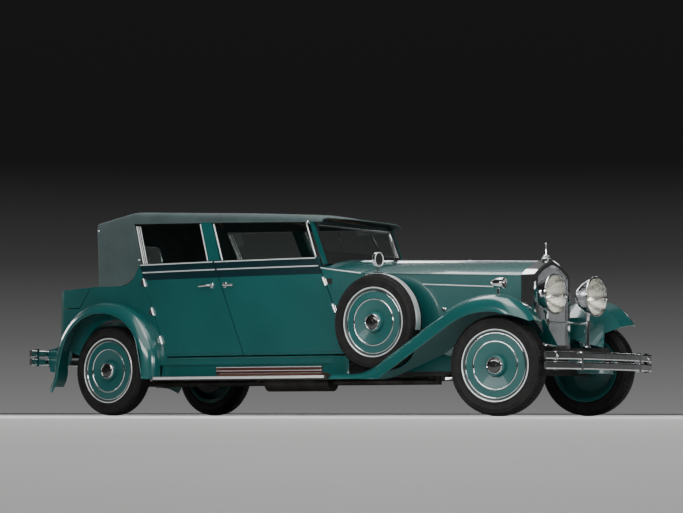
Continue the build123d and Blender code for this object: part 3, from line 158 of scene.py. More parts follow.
CAMERA_FROM_X, CAMERA_BACK, CAMERA_LEFT, CAMERA_UP = 0.205, 21.2856, 0.025, 0.03
FOCAL_PIXELS, PICTURE_PIXELS, SENSOR_WIDTH = 2459.2, 683, 36.0
back = Vector((sin(AZIMUTH), -cos(AZIMUTH), 0))
right = Vector((cos(AZIMUTH), sin(AZIMUTH), 0))
up = Vector((0, 0, 1))
stand = Vector((CAMERA_FROM_X, 0, 0)) + back * CAMERA_BACK - right * CAMERA_LEFT + up * CAMERA_UP
ahead = -back * cos(PITCH) + up * sin(PITCH)
head = back * sin(PITCH) + up * cos(PITCH)
across = right * cos(ROLL) + head * sin(ROLL)
head = head * cos(ROLL) - right * sin(ROLL)
lay_tools_down()
bpy.ops.object.camera_add()
camera = bpy.context.object
camera.name = "photo_camera"
camera.matrix_world = Matrix(
    (
        (across.x, head.x, -ahead.x, stand.x),
        (across.y, head.y, -ahead.y, stand.y),
        (across.z, head.z, -ahead.z, stand.z),
        (0, 0, 0, 1),
    )
)
camera.data.sensor_width = SENSOR_WIDTH
camera.data.lens = FOCAL_PIXELS / PICTURE_PIXELS * SENSOR_WIDTH
camera.data.clip_end = 200
bpy.context.scene.camera = camera

# Chassis: pressed steel ladder frame, axles, springs and tank in satin black paint, dulled by dust in
# patches; the cast engine and gearbox are grey, the exhaust is plain heated steel.
def spread(tree, value, low, high):
    """Number that runs between two levels as a value goes from 0 to 1."""
    span = node_of(tree, "MapRange", To_Min=low, To_Max=high)
    tree.links.new(value, span.inputs["Value"])
    return span.outputs["Result"]


def dulled_by(tree, shader, value, low, high):
    """Roughness between two levels."""
    tree.links.new(spread(tree, value, low, high), shader.inputs["Roughness"])


def raised(tree, shader, value, height, strength=1.0):
    """Fine relief from a value."""
    bump = node_of(tree, "Bump", Strength=strength, Distance=height)
    tree.links.new(value, bump.inputs["Height"])
    tree.links.new(bump.outputs["Normal"], shader.inputs["Normal"])


def dress(finish, *names):
    """Gives CAD pieces their finish."""
    for name in names:
        mesh = nodes[name].data
        mesh.materials.clear()
        mesh.materials.append(finish)


chassis_black, tree, shader, place = new_finish("chassis_black")
grime = speckle(tree, place, 9.0, 6.0)
coloured_by(tree, shader, grime, (0.012, 0.012, 0.013), (0.035, 0.033, 0.031))
dulled_by(tree, shader, grime, 0.35, 0.62)
raised(tree, shader, speckle(tree, place, 320.0), 0.0004, 0.35)

cast_iron, tree, shader, place = new_finish("engine_cast_iron")
grain = speckle(tree, place, 60.0, 8.0)
coloured_by(tree, shader, grain, (0.07, 0.075, 0.075), (0.13, 0.135, 0.13))
dulled_by(tree, shader, grain, 0.45, 0.7)
shader.inputs["Metallic"].default_value = 0.6
raised(tree, shader, grain, 0.0012, 0.5)

pipe_steel, tree, shader, place = new_finish("exhaust_steel")
stain = speckle(tree, place, 5.0, 5.0)
coloured_by(tree, shader, stain, (0.035, 0.030, 0.026), (0.085, 0.080, 0.075))
dulled_by(tree, shader, stain, 0.45, 0.65)
shader.inputs["Metallic"].default_value = 0.7

dress(chassis_black, "frame", "front_axle", "rear_axle", "leaf_springs", "fuel_tank")
dress(chassis_black, "knuckle_left", "knuckle_right")
dress(cast_iron, "engine")
dress(pipe_steel, "exhaust")

# Body panels: hand-beaten steel sheet in deep teal enamel, rubbed flat and polished. The doors carry
# a darker band below the belt, and the floor is enamelled only on the sills that show outside. The
# paint has a faint orange peel and slow shifts of tone.
TEAL_LOW, TEAL_HIGH = (0.0038, 0.073, 0.070), (0.0048, 0.086, 0.082)
BELT_DARK = (0.0012, 0.018, 0.023)
BELT_BAND = (1.193, 1.328)
FLOOR_DARK = (0.014, 0.014, 0.015)
SILL_Y = 0.600


def part_of(tree, place, axis, start, end=None):
    """1 where the piece's own coordinate lies past start, and short of end if there is one."""
    level = node_of(tree, "SeparateXYZ")
    tree.links.new(place, level.inputs["Vector"])
    value = level.outputs[axis[-1]]
    if axis[0] == "|":
        size = node_of(tree, "Math", operation="ABSOLUTE")
        tree.links.new(value, size.inputs[0])
        value = size.outputs[0]
    past = node_of(tree, "Math", operation="GREATER_THAN")
    past.inputs[1].default_value = start
    tree.links.new(value, past.inputs[0])
    if end is None:
        return past.outputs[0]
    short = node_of(tree, "Math", operation="LESS_THAN")
    short.inputs[1].default_value = end
    tree.links.new(value, short.inputs[0])
    both = node_of(tree, "Math", operation="MULTIPLY")
    tree.links.new(past.outputs[0], both.inputs[0])
    tree.links.new(short.outputs[0], both.inputs[1])
    return both.outputs[0]


def two_tone(tree, mask, below, above):
    """Mixes two colours, each a socket or a plain tone, by a mask."""
    mix = node_of(tree, "Mix", data_type="RGBA")
    tree.links.new(mask, mix.inputs["Factor"])
    for colour, key in ((below, "A"), (above, "B")):
        if isinstance(colour, tuple):
            mix.inputs[key].default_value = (*colour, 1)
        else:
            tree.links.new(colour, mix.inputs[key])
    return mix.outputs["Result"]


def enamel(name, band=None, sills=False, gloss=1.0):
    """Teal enamel, plain, with the belt band, or only on the sills."""
    finish, tree, shader, place = new_finish(name)
    colour = graded(tree, speckle(tree, place, 1.7, 2.0), TEAL_LOW, TEAL_HIGH)
    if band:
        colour = two_tone(tree, part_of(tree, place, "Z", *band), colour, BELT_DARK)
    if sills:
        colour = two_tone(tree, part_of(tree, place, "|Y", SILL_Y), FLOOR_DARK, colour)
    tree.links.new(colour, shader.inputs["Base Color"])
    dullest = 0.55 - 0.25 * gloss
    dulled_by(tree, shader, speckle(tree, place, 14.0, 4.0), dullest - 0.10, dullest)
    shader.inputs["Coat Weight"].default_value = gloss
    shader.inputs["Coat Roughness"].default_value = 0.035
    raised(tree, shader, speckle(tree, place, 420.0, 1.0), 0.00006, 0.5)
    return finish


CORNERS = [f"{end}_{side}" for end in ("front", "rear") for side in ("left", "right")]
body_paint = enamel("teal_enamel")
dress(body_paint, "cowl", "rear_body", "trunk_lid", "hood_top_left", "hood_top_right")
dress(body_paint, "hood_leaf_left", "hood_leaf_right", "hood_ledges", "centre_posts")
dress(body_paint, "front_wings", "rear_wings", "valances")
dress(enamel("wheel_enamel", gloss=0.2), "spare_wheels", *[f"wheel_{corner}" for corner in CORNERS])
dress(enamel("teal_enamel_belted", band=BELT_BAND), *[f"door_{corner}" for corner in CORNERS])
dress(enamel("teal_enamel_sills", sills=True), "floor")

# Bright work: chromium plate over polished brass and steel, with a slight clouding that only shows in
# its softer reflections. Slim beads, bands and rings have a near-white, half-metallic satin plate whose
# light colour is a painted highlight, so they stay light all round.
chrome, tree, shader, place = new_finish("chrome_plate")
cloud = speckle(tree, place, 26.0, 4.0)
coloured_by(tree, shader, cloud, (0.66, 0.67, 0.68), (0.74, 0.75, 0.76))
dulled_by(tree, shader, cloud, 0.035, 0.10)
shader.inputs["Metallic"].default_value = 1.0
raised(tree, shader, speckle(tree, place, 700.0, 1.0), 0.00002, 0.3)

# Painted highlight: a near-white base at metallic 0.55 keeps slim bright work light from every side, in place
# of the chrome's glints.
highlight_satin, tree, shader, place = new_finish("highlight_satin_plate")
brushed = speckle(tree, place, 90.0, 4.0)
coloured_by(tree, shader, brushed, (0.78, 0.79, 0.79), (0.86, 0.87, 0.87))
dulled_by(tree, shader, brushed, 0.26, 0.38)
shader.inputs["Metallic"].default_value = 0.55

dress(chrome, "radiator_shell", "front_bumper", "rear_bumper", "mirrors", "side_lamps", "door_hinges")

# Glass: flat plate, clear with a faint green cast. It slides in the doors, and is set fast in the
# screen frame and in the back of the top.
clear_glass, tree, shader, place = new_finish("window_glass")
coloured_by(tree, shader, speckle(tree, place, 2.0), (0.80, 0.88, 0.85), (0.88, 0.93, 0.91))
shader.inputs["Transmission Weight"].default_value = 1.0
shader.inputs["Roughness"].default_value = 0.01
shader.inputs["IOR"].default_value = 1.46
dress(clear_glass, "fixed_glass", *[f"door_glass_{corner}" for corner in CORNERS])

# Wheels: pressed steel discs in the body colour with an edge ring in the satin plate with its painted
# highlight, a black ring in the recess behind it as painted shade where the disc's own paint lies in
# shadow, a second thin ring, a middle ring and a stepped hub cap, spun from sheet and sprung on. Two of
# the six are spares.
def pick_up(piece):
    """Selects one piece alone and makes it the active one."""
    lay_tools_down()
    piece.select_set(True)
    bpy.context.view_layer.objects.active = piece


def close_shell(piece, merge=None):
    """Merges doubled corners within a distance, if given, and turns all faces outwards."""
    pick_up(piece)
    bpy.ops.object.mode_set(mode="EDIT")
    bpy.ops.mesh.select_all(action="SELECT")
    if merge:
        bpy.ops.mesh.remove_doubles(threshold=merge)
        bpy.ops.mesh.delete_loose()
        bpy.ops.mesh.select_all(action="SELECT")
    bpy.ops.mesh.normals_make_consistent(inside=False)
    bpy.ops.object.mode_set(mode="OBJECT")


TURNED_MERGE = 0.00002


def turn_piece(profile, steps):
    """Closed outline of (radius, along) corners spun about the axle line Y."""
    lay_tools_down()
    bpy.ops.mesh.primitive_circle_add(vertices=len(profile), radius=1.0)
    piece = bpy.context.object
    for vertex, (radius, along) in zip(piece.data.vertices, profile):
        vertex.co = (radius, along, 0)
    bpy.ops.object.mode_set(mode="EDIT")
    if profile[0][0] == 0 and profile[-1][0] == 0:
        work = bmesh.from_edit_mesh(piece.data)
        for edge in work.edges:
            edge.select_set(all(v.co.x == 0 for v in edge.verts))
        bmesh.update_edit_mesh(piece.data)
        bpy.ops.mesh.delete(type="EDGE")
    bpy.ops.mesh.select_all(action="SELECT")
    bpy.ops.mesh.spin(steps=steps, angle=2 * pi, center=(0, 0, 0), axis=(0, 1, 0))
    close_shell(piece, TURNED_MERGE)
    return piece


def finish_piece(piece, name, finish, body, corner=35):
    """Sets the piece's place into its mesh, smooths it and hangs it on its body."""
    pick_up(piece)
    bpy.ops.object.transform_apply(location=True, rotation=True, scale=True)
    bpy.ops.object.shade_smooth_by_angle(angle=radians(corner))
    piece.name = piece.data.name = name
    piece.data.materials.clear()
    piece.data.materials.append(finish)
    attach(piece, body)
    return piece


def copy_to(pattern, matrix):
    """Another piece of the same pattern, moved to its own place."""
    twin = bpy.data.objects.new(pattern.name, pattern.data.copy())
    bpy.context.scene.collection.objects.link(twin)
    twin.data.transform(matrix)
    return twin


def turned_set(profile, steps, places, finish, corner=35):
    """Turns one pattern and sets a finished copy at each (name, body, matrix)."""
    pattern = turn_piece(profile, steps)
    pieces = []
    for name, body, matrix in places:
        pieces.append(finish_piece(copy_to(pattern, matrix), name, finish, body, corner))
    bpy.data.objects.remove(pattern)
    return pieces


def outward(sign):
    """Turn that points the axle line away from the car on the side of the sign."""
    return Matrix.Rotation(0 if sign > 0 else pi, 4, "Z")


SIDES = (("left", 1), ("right", -1))
REAR_AXLE, FRONT_AXLE, AXLE_HEIGHT, HALF_TRACK = -1.845, 2.255, 0.400, 0.700
STEERED, KINGPIN = radians(10), 0.615
SPARE_X, SPARE_Y, SPARE_Z, SPARE_TOE = 1.060, 0.668, 0.770, radians(3.5)
wheel_places, spare_places = [], []
for side, sign in SIDES:
    kingpin = Matrix.Translation((FRONT_AXLE, sign * KINGPIN, AXLE_HEIGHT)) @ Matrix.Rotation(STEERED, 4, "Z")
    front_hub = kingpin @ Matrix.Translation((0, sign * (HALF_TRACK - KINGPIN), 0))
    rear_hub = Matrix.Translation((REAR_AXLE, sign * HALF_TRACK, AXLE_HEIGHT))
    well = Matrix.Translation((SPARE_X, sign * SPARE_Y, SPARE_Z))
    stowed = well @ Matrix.Rotation(-sign * SPARE_TOE, 4, "Z")
    wheel_places.append((f"front_{side}", f"front_wheel_{side}", front_hub @ outward(sign)))
    wheel_places.append((f"rear_{side}", f"rear_wheel_{side}", rear_hub @ outward(sign)))
    wheel_places.append((f"spare_{side}", "chassis", stowed @ outward(sign)))
    spare_places.append((side, sign, stowed))

hub_black, tree, shader, place = new_finish("hub_black_enamel")
polish = speckle(tree, place, 40.0, 4.0)
coloured_by(tree, shader, polish, (0.006, 0.006, 0.006), (0.012, 0.012, 0.012))
dulled_by(tree, shader, polish, 0.12, 0.22)
shader.inputs["Coat Weight"].default_value = 1.0

RING_STEPS = 128
EDGE_RING = [
    (0.2780, 0.0740), (0.2785, 0.0790), (0.2810, 0.0815),
    (0.2860, 0.0820), (0.2888, 0.0800), (0.2893, 0.0760),
]
SHADED_GROOVE = [
    (0.2600, 0.0640), (0.2612, 0.0722), (0.2660, 0.0748),
    (0.2785, 0.0792), (0.2800, 0.0730), (0.2640, 0.0630),
]
THIN_RING = [
    (0.2535, 0.0630), (0.2540, 0.0690), (0.2565, 0.0712),
    (0.2600, 0.0712), (0.2625, 0.0695), (0.2630, 0.0640),
]
MIDDLE_RING = [
    (0.1830, 0.0680), (0.1845, 0.0725), (0.1870, 0.0750), (0.1905, 0.0758),
    (0.1940, 0.0748), (0.1970, 0.0710), (0.1980, 0.0655),
]
HUB_CAP = [
    (0.0590, 0.0985), (0.0610, 0.1010), (0.0640, 0.1010), (0.0665, 0.0985), (0.0700, 0.0900), (0.0765, 0.0810),
    (0.0790, 0.0690), (0.0850, 0.0675), (0.0880, 0.0640), (0.0890, 0.0585), (0.0880, 0.0535), (0.0580, 0.0535),
]
HUB_CENTRE = [
    (0, 0.1055), (0.018, 0.1053), (0.0195, 0.1035), (0.034, 0.1030), (0.048, 0.1010),
    (0.057, 0.0975), (0.0600, 0.0940), (0.0600, 0.0560), (0, 0.0560),
]
for label, profile, finish in (
    ("edge_ring", EDGE_RING, highlight_satin),
    # Painted shade: the ring in the recess is black, standing in for the disc's body-coloured paint in shadow.
    ("groove", SHADED_GROOVE, chassis_black),
    ("thin_ring", THIN_RING, chrome),
    ("middle_ring", MIDDLE_RING, chrome),
    ("hub_cap", HUB_CAP, chrome),
    ("hub_centre", HUB_CENTRE, hub_black),
):
    places = [(f"{label}_{where}", body, matrix) for where, body, matrix in wheel_places]
    turned_set(profile, RING_STEPS, places, finish)

# Tyres: black rubber on cotton cord, with raised rings on the walls, grooves round the tread and cross
# slots cut into both shoulders. They are moulded and sprung onto the rims.
rubber, tree, shader, place = new_finish("tyre_rubber")
dust = speckle(tree, place, 16.0, 6.0)
coloured_by(tree, shader, dust, (0.006, 0.006, 0.006), (0.014, 0.0135, 0.013))
dulled_by(tree, shader, dust, 0.50, 0.68)
shader.inputs["Specular IOR Level"].default_value = 0.2
raised(tree, shader, speckle(tree, place, 520.0, 2.0), 0.0003, 0.35)

TYRE_STEPS = 144
SLOT_DEPTH, SLOT_ABOVE, SLOT_INNER, SLOT_OUTER = 0.0055, 0.379, 0.043, 0.073
HALF_TYRE = [
    (0.2640, 0.0600), (0.2840, 0.0700), (0.2870, 0.0740), (0.2890, 0.0770), (0.2960, 0.0800), (0.2985, 0.0822),
    (0.3025, 0.0822), (0.3045, 0.0812), (0.3170, 0.0833), (0.3300, 0.0842), (0.3420, 0.0845), (0.3440, 0.0850),
    (0.3470, 0.0850), (0.3488, 0.0842), (0.3600, 0.0815), (0.3690, 0.0780), (0.3705, 0.0785), (0.3745, 0.0765),
    (0.3750, 0.0745), (0.3840, 0.0680), (0.3915, 0.0590), (0.3965, 0.0500), (0.3980, 0.0420), (0.3925, 0.0408),
    (0.3925, 0.0362), (0.3985, 0.0350), (0.3995, 0.0220), (0.3935, 0.0208), (0.3935, 0.0162), (0.3998, 0.0150),
    (0.4000, 0.0030), (0.3945, 0.0022),
]
tyre_pattern = turn_piece(HALF_TYRE + [(r, -a) for r, a in reversed(HALF_TYRE)], TYRE_STEPS)
pick_up(tyre_pattern)
bpy.ops.object.mode_set(mode="EDIT")
bpy.ops.mesh.select_all(action="DESELECT")
work = bmesh.from_edit_mesh(tyre_pattern.data)
for face in work.faces:
    middle = face.calc_center_median()
    spoke = Vector((middle.x, middle.z))
    pitch = int((spoke.angle_signed(Vector((1, 0))) + pi) / (2 * pi) * TYRE_STEPS)
    on_shoulder = spoke.length > SLOT_ABOVE and SLOT_INNER < abs(middle.y) < SLOT_OUTER
    face.select_set(pitch % 2 == 0 and on_shoulder)
bmesh.update_edit_mesh(tyre_pattern.data)
bpy.ops.mesh.extrude_region_shrink_fatten(TRANSFORM_OT_shrink_fatten={"value": -SLOT_DEPTH})
bpy.ops.object.mode_set(mode="OBJECT")
for where, body, matrix in wheel_places:
    tyre = finish_piece(copy_to(tyre_pattern, matrix), f"tyre_tread_{where}", rubber, body, 40)
    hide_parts("spare_tyres" if body == "chassis" else f"tyre_{where}")
bpy.data.objects.remove(tyre_pattern)

# Spare straps: a polished steel band over each spare tyre's tread, from behind its top forward and
# down into the wing well. It is rolled from strip, with the outer edge turned over the shoulder.
STRAP_FROM, STRAP_TO, STRAP_STEPS = radians(104), radians(-10), 64
STRAP_SECTION = [
    (0.4005, -0.016), (0.4005, 0.030), (0.3985, 0.050), (0.4025, 0.053),
    (0.4040, 0.048), (0.4045, 0.030), (0.4045, -0.012), (0.4040, -0.016),
]
for side, sign, stowed in spare_places:
    lay_tools_down()
    bpy.ops.mesh.primitive_circle_add(vertices=len(STRAP_SECTION), radius=1.0, fill_type="NGON")
    strap = bpy.context.object
    for vertex, (reach, along) in zip(strap.data.vertices, STRAP_SECTION):
        vertex.co = (reach * cos(STRAP_FROM), sign * along, reach * sin(STRAP_FROM))
    bpy.ops.object.mode_set(mode="EDIT")
    bpy.ops.mesh.select_all(action="SELECT")
    bpy.ops.mesh.spin(steps=STRAP_STEPS, angle=STRAP_TO - STRAP_FROM, center=(0, 0, 0), axis=(0, 1, 0))
    close_shell(strap, TURNED_MERGE)
    strap.data.transform(stowed)
    # The strap's near-white satin finish is a painted highlight.
    finish_piece(strap, f"spare_strap_{side}", highlight_satin, "chassis", 30)

# Running boards and step pads: the boards are steel trays under ribbed black rubber, with a bright
# strip along the outer edge; the pads are stained hardwood slats held down by steel ribs.
def banded(tree, place, direction, scale):
    """Even waves across the piece, for ribs, fins, flutes and threads."""
    waves = node_of(tree, "TexWave", wave_type="BANDS", bands_direction=direction, Scale=scale)
    tree.links.new(place, waves.inputs["Vector"])
    return waves.outputs["Fac"]


board_rubber, tree, shader, place = new_finish("board_rubber")
scuff = speckle(tree, place, 12.0, 6.0)
coloured_by(tree, shader, scuff, (0.010, 0.010, 0.010), (0.022, 0.022, 0.021))
dulled_by(tree, shader, scuff, 0.48, 0.66)
raised(tree, shader, banded(tree, place, "Y", 26.0), 0.002, 0.8)
dress(board_rubber, "running_boards")

PAD_RIB_Z = 0.3546
RIB_STEEL = (0.52, 0.52, 0.50)


def grained(tree, place, stretch, scale, detail):
    """Noise drawn out along the wood's grain."""
    drawn = node_of(tree, "Mapping", Scale=stretch)
    tree.links.new(place, drawn.inputs["Vector"])
    return speckle(tree, drawn.outputs["Vector"], scale, detail)


def stained_wood(name, low, high, rib_z=None):
    """Hardwood with its grain along the car, and steel above the ribs' height if given."""
    finish, tree, shader, place = new_finish(name)
    grain = grained(tree, place, (1.0, 16.0, 16.0), 5.0, 8.0)
    colour = graded(tree, grain, low, high)
    if rib_z:
        on_rib = part_of(tree, place, "Z", rib_z)
        colour = two_tone(tree, on_rib, colour, RIB_STEEL)
        tree.links.new(on_rib, shader.inputs["Metallic"])
    tree.links.new(colour, shader.inputs["Base Color"])
    dulled_by(tree, shader, grain, 0.25, 0.42)
    raised(tree, shader, grain, 0.0006, 0.5)
    return finish


pad_wood = stained_wood("step_pad_wood", (0.050, 0.013, 0.008), (0.125, 0.042, 0.024), PAD_RIB_Z)
dress(pad_wood, "step_pads")


def apply_modifier(piece, kind, **settings):
    """Adds a modifier with its settings and applies it."""
    pick_up(piece)
    modifier = piece.modifiers.new(kind.lower(), kind)
    for key, value in settings.items():
        setattr(modifier, key, value)
    bpy.ops.object.modifier_apply(modifier=modifier.name)


def milled(low, high, edge):
    """A bar between two corners with its edges rounded over."""
    lay_tools_down()
    bpy.ops.mesh.primitive_cube_add(size=1, location=[(a + b) / 2 for a, b in zip(low, high)])
    bar = bpy.context.object
    bar.scale = [b - a for a, b in zip(low, high)]
    bpy.ops.object.transform_apply(location=True, rotation=True, scale=True)
    apply_modifier(bar, "BEVEL", width=edge, segments=3, limit_method="NONE")
    return bar


STRIP_INSET, STRIP_SUNK, STRIP_PROUD = 0.02, 0.001, 0.005
STRIP_LOW, STRIP_HIGH, STRIP_EDGE = 0.026, 0.004, 0.0028
board_low, board_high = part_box("running_boards")
for side, sign in SIDES:
    near, far = sorted((sign * (board_high[1] - STRIP_SUNK), sign * (board_high[1] + STRIP_PROUD)))
    strip_low = (board_low[0] + STRIP_INSET, near, board_high[2] - STRIP_LOW)
    strip_high = (board_high[0] - STRIP_INSET, far, board_high[2] - STRIP_HIGH)
    strip = milled(strip_low, strip_high, STRIP_EDGE)
    finish_piece(strip, f"board_strip_{side}", highlight_satin, "chassis")

# Apron and step trim: a teal steel sheet closes the side between sill and board, flared at its foot.
# A stained hardwood kick panel with two plated ribs is fixed to it behind the step pads.
SKINS = {}


def skin_of(node):
    """A CAD piece's faces, ready to be probed."""
    if node not in SKINS:
        mesh = nodes[node].data
        SKINS[node] = BVHTree.FromPolygons([v.co for v in mesh.vertices], [f.vertices for f in mesh.polygons])
    return SKINS[node]


def skin(node, x, z, sign):
    """Outermost face of a CAD piece on one side, at a station and height."""
    hit = skin_of(node).ray_cast(Vector((x, sign * 3, z)), Vector((0, -sign, 0)))[0]
    return hit.y if hit else None


APRON_FROM, APRON_TO, APRON_LOW, APRON_HIGH = -1.262, 0.715, 0.338, 0.498
APRON_T, APRON_FLARE, APRON_GAP = 0.003, 0.010, 0.003
VALANCE_Z, VALANCE_NEAR, VALANCE_FAR, VALANCE_END_Y = 0.400, 0.60, 0.80, 0.672
TRIM_FROM, TRIM_TO, TRIM_LOW, TRIM_HIGH = -0.640, 0.440, 0.364, 0.414
TRIM_STAND, TRIM_T = 0.010, 0.016
TRIM_RIB_HEIGHTS, TRIM_RIB_HALF, TRIM_RIB_STAND, TRIM_RIB_T = (TRIM_HIGH, 0.384), 0.003, 0.0175, 0.005
TRIM_RIB_INSET = 0.004


def apron_y(x):
    """Just outside the valance at a station, or outside its nearest end."""
    for reach in range(60):
        for step in (x - 0.01 * reach, x + 0.01 * reach):
            y = skin("valances", step, VALANCE_Z, 1)
            if y is not None and VALANCE_NEAR < y < VALANCE_FAR:
                return y + APRON_GAP
    return VALANCE_END_Y


def bent_strip(start, end, low, high, sign, stand, thick, flare=0.0):
    """A strip of sheet that follows the apron line, standing off it."""
    lay_tools_down()
    bpy.ops.mesh.primitive_grid_add(x_subdivisions=36, y_subdivisions=8, size=2)
    strip = bpy.context.object
    lines = {}
    for vertex in strip.data.vertices:
        u, v = (vertex.co.x + 1) / 2, (vertex.co.y + 1) / 2
        x = start + (end - start) * u
        column = round(u, 4)
        if column not in lines:
            lines[column] = apron_y(x)
        y = lines[column] + stand + flare * (1 - v) ** 3
        vertex.co = (x, sign * y, low + (high - low) * v)
    apply_modifier(strip, "SOLIDIFY", thickness=thick, offset=0.0)
    close_shell(strip)
    apply_modifier(strip, "BEVEL", width=thick * 0.2, segments=2, limit_method="ANGLE")
    return strip


pad_trim = stained_wood("step_trim_wood", (0.045, 0.010, 0.008), (0.095, 0.026, 0.018))
for side, sign in SIDES:
    apron = bent_strip(APRON_FROM, APRON_TO, APRON_LOW, APRON_HIGH, sign, 0.0, APRON_T, APRON_FLARE)
    finish_piece(apron, f"side_apron_{side}", body_paint, "chassis", 60)
    trim = bent_strip(TRIM_FROM, TRIM_TO, TRIM_LOW, TRIM_HIGH, sign, TRIM_STAND, TRIM_T)
    finish_piece(trim, f"step_trim_{side}", pad_trim, "chassis", 40)
    for row, z in enumerate(TRIM_RIB_HEIGHTS):
        ends = (TRIM_FROM + TRIM_RIB_INSET, TRIM_TO - TRIM_RIB_INSET)
        rib = bent_strip(*ends, z - TRIM_RIB_HALF, z + TRIM_RIB_HALF, sign, TRIM_RIB_STAND, TRIM_RIB_T)
        finish_piece(rib, f"step_trim_rib_{side}_{row}", highlight_satin, "chassis", 40)

# Radiator: a black finned core of soldered brass behind a row of bright upright slats, both held in
# the plated shell. One finish serves both, since the slats stand ahead of the core.
SLAT_BEHIND_FRONT = 0.0395
SLAT_BRIGHT = (0.70, 0.71, 0.72)
core_finish, tree, shader, place = new_finish("radiator_core_and_slats")
dark_fins = graded(tree, banded(tree, place, "Z", 90.0), (0.006, 0.006, 0.006), (0.03, 0.03, 0.03))
on_slat = part_of(tree, place, "X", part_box("radiator_core")[1][0] - SLAT_BEHIND_FRONT)
tree.links.new(two_tone(tree, on_slat, dark_fins, SLAT_BRIGHT), shader.inputs["Base Color"])
tree.links.new(spread(tree, on_slat, 0.0, 0.55), shader.inputs["Metallic"])
dulled_by(tree, shader, speckle(tree, place, 40.0), 0.12, 0.24)
dress(core_finish, "radiator_core")

# Headlamps: spun and plated bowls on turned posts joined by a tie bar. Each holds a silvered dish, a
# bulb in its holder and a domed lens with moulded flutes, held by the rim.
LAMP_X, LAMP_Y, LAMP_Z = 2.560, 0.310, 0.975
LAMP_STEPS, LAMP_CORNER = 96, 40
BOWL = [
    (0, -0.200), (0.010, -0.1995), (0.030, -0.193), (0.060, -0.173), (0.090, -0.142), (0.118, -0.103),
    (0.139, -0.062), (0.153, -0.026), (0.158, -0.012), (0.1640, -0.011), (0.1660, -0.008), (0.1660, -0.001),
    (0.1640, 0.003), (0.1580, 0.0045), (0.1545, 0.0035), (0.1530, 0.000), (0.1520, -0.008), (0.1500, -0.012),
    (0.1480, -0.026), (0.134, -0.062), (0.113, -0.103), (0.086, -0.140), (0.057, -0.170), (0.028, -0.189),
    (0, -0.196),
]
DISH = [
    (0, -0.150), (0.020, -0.148), (0.045, -0.138), (0.075, -0.118), (0.105, -0.087), (0.128, -0.052),
    (0.145, -0.014), (0.1475, -0.010), (0.1475, -0.014), (0.131, -0.056), (0.107, -0.091), (0.077, -0.122),
    (0.046, -0.142), (0.020, -0.152), (0, -0.154),
]
BULB = [
    (0, -0.066), (0.010, -0.068), (0.018, -0.076), (0.020, -0.086), (0.017, -0.097), (0.012, -0.104),
    (0.013, -0.106), (0.013, -0.128), (0.017, -0.129), (0.017, -0.150), (0, -0.150),
]
LENS_R, LENS_RISE, LENS_T, LENS_SUNK, LENS_RINGS = 0.1525, 0.030, 0.004, 0.006, 14
LENS_BALL = (LENS_R**2 + LENS_RISE**2) / (2 * LENS_RISE)
lens_front = []
for ring in range(LENS_RINGS + 1):
    radius = LENS_R * ring / LENS_RINGS
    lens_front.append((radius, LENS_RISE - LENS_SUNK - LENS_BALL + sqrt(LENS_BALL**2 - radius**2)))
LENS = lens_front + [(r, a - LENS_T) for r, a in reversed(lens_front)]

silver, tree, shader, place = new_finish("reflector_silver")
coloured_by(tree, shader, speckle(tree, place, 30.0), (0.90, 0.89, 0.85), (0.95, 0.94, 0.90))
dulled_by(tree, shader, speckle(tree, place, 60.0), 0.22, 0.34)
shader.inputs["Metallic"].default_value = 1.0

lens_glass, tree, shader, place = new_finish("fluted_lens_glass")
coloured_by(tree, shader, speckle(tree, place, 4.0), (0.93, 0.93, 0.88), (0.97, 0.97, 0.93))
shader.inputs["Transmission Weight"].default_value = 1.0
shader.inputs["Roughness"].default_value = 0.03
shader.inputs["IOR"].default_value = 1.40
raised(tree, shader, banded(tree, place, "Y", 17.0), 0.0015, 0.25)

bulb_glass, tree, shader, place = new_finish("bulb_glass_and_brass")
coloured_by(tree, shader, speckle(tree, place, 90.0), (0.75, 0.70, 0.55), (0.85, 0.82, 0.72))
shader.inputs["Roughness"].default_value = 0.12
shader.inputs["Coat Weight"].default_value = 0.6

facing_front = Matrix.Rotation(radians(-90), 4, "Z")
facing_rear = facing_front.inverted()
standing = Matrix.Rotation(radians(90), 4, "X")
for label, profile, finish in (
    ("bowl", BOWL, chrome),
    ("dish", DISH, silver),
    ("bulb", BULB, bulb_glass),
    ("lens", LENS, lens_glass),
):
    places = []
    for side, sign in SIDES:
        lamp_at = Matrix.Translation((LAMP_X, sign * LAMP_Y, LAMP_Z)) @ facing_front
        places.append((f"headlamp_{label}_{side}", "chassis", lamp_at))
    for piece in turned_set(profile, LAMP_STEPS, places, finish, LAMP_CORNER):
        if label == "bowl":
            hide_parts("headlamps")
        if label == "lens":
            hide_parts("headlamp_lenses")

POST_FOOT, POST_TOP, POST_X, TIE_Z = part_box("headlamps")[0][2], 0.852, LAMP_X - 0.085, 0.752
POST = [
    (0, POST_FOOT), (0.030, POST_FOOT), (0.030, POST_FOOT + 0.010), (0.027, POST_FOOT + 0.014),
    (0.0180, POST_FOOT + 0.018), (0.0165, POST_FOOT + 0.040), (0.0165, 0.735), (0.022, 0.740), (0.022, 0.764),
    (0.0165, 0.769), (0.0165, 0.815), (0.020, 0.822), (0.028, 0.832), (0.030, POST_TOP), (0, POST_TOP),
]
places = []
for side, sign in SIDES:
    post_at = Matrix.Translation((POST_X, sign * LAMP_Y, 0)) @ standing
    places.append((f"headlamp_post_{side}", "chassis", post_at))
turned_set(POST, 48, places, chrome)
TIE_BAR = [
    (0, -0.318), (0.006, -0.316), (0.009, -0.312), (0.009, -0.02), (0.0125, -0.014),
    (0.0125, 0.014), (0.009, 0.02), (0.009, 0.312), (0.006, 0.316), (0, 0.318),
]
turned_set(TIE_BAR, 32, [("headlamp_tie_bar", "chassis", Matrix.Translation((POST_X, 0, TIE_Z)))], chrome)

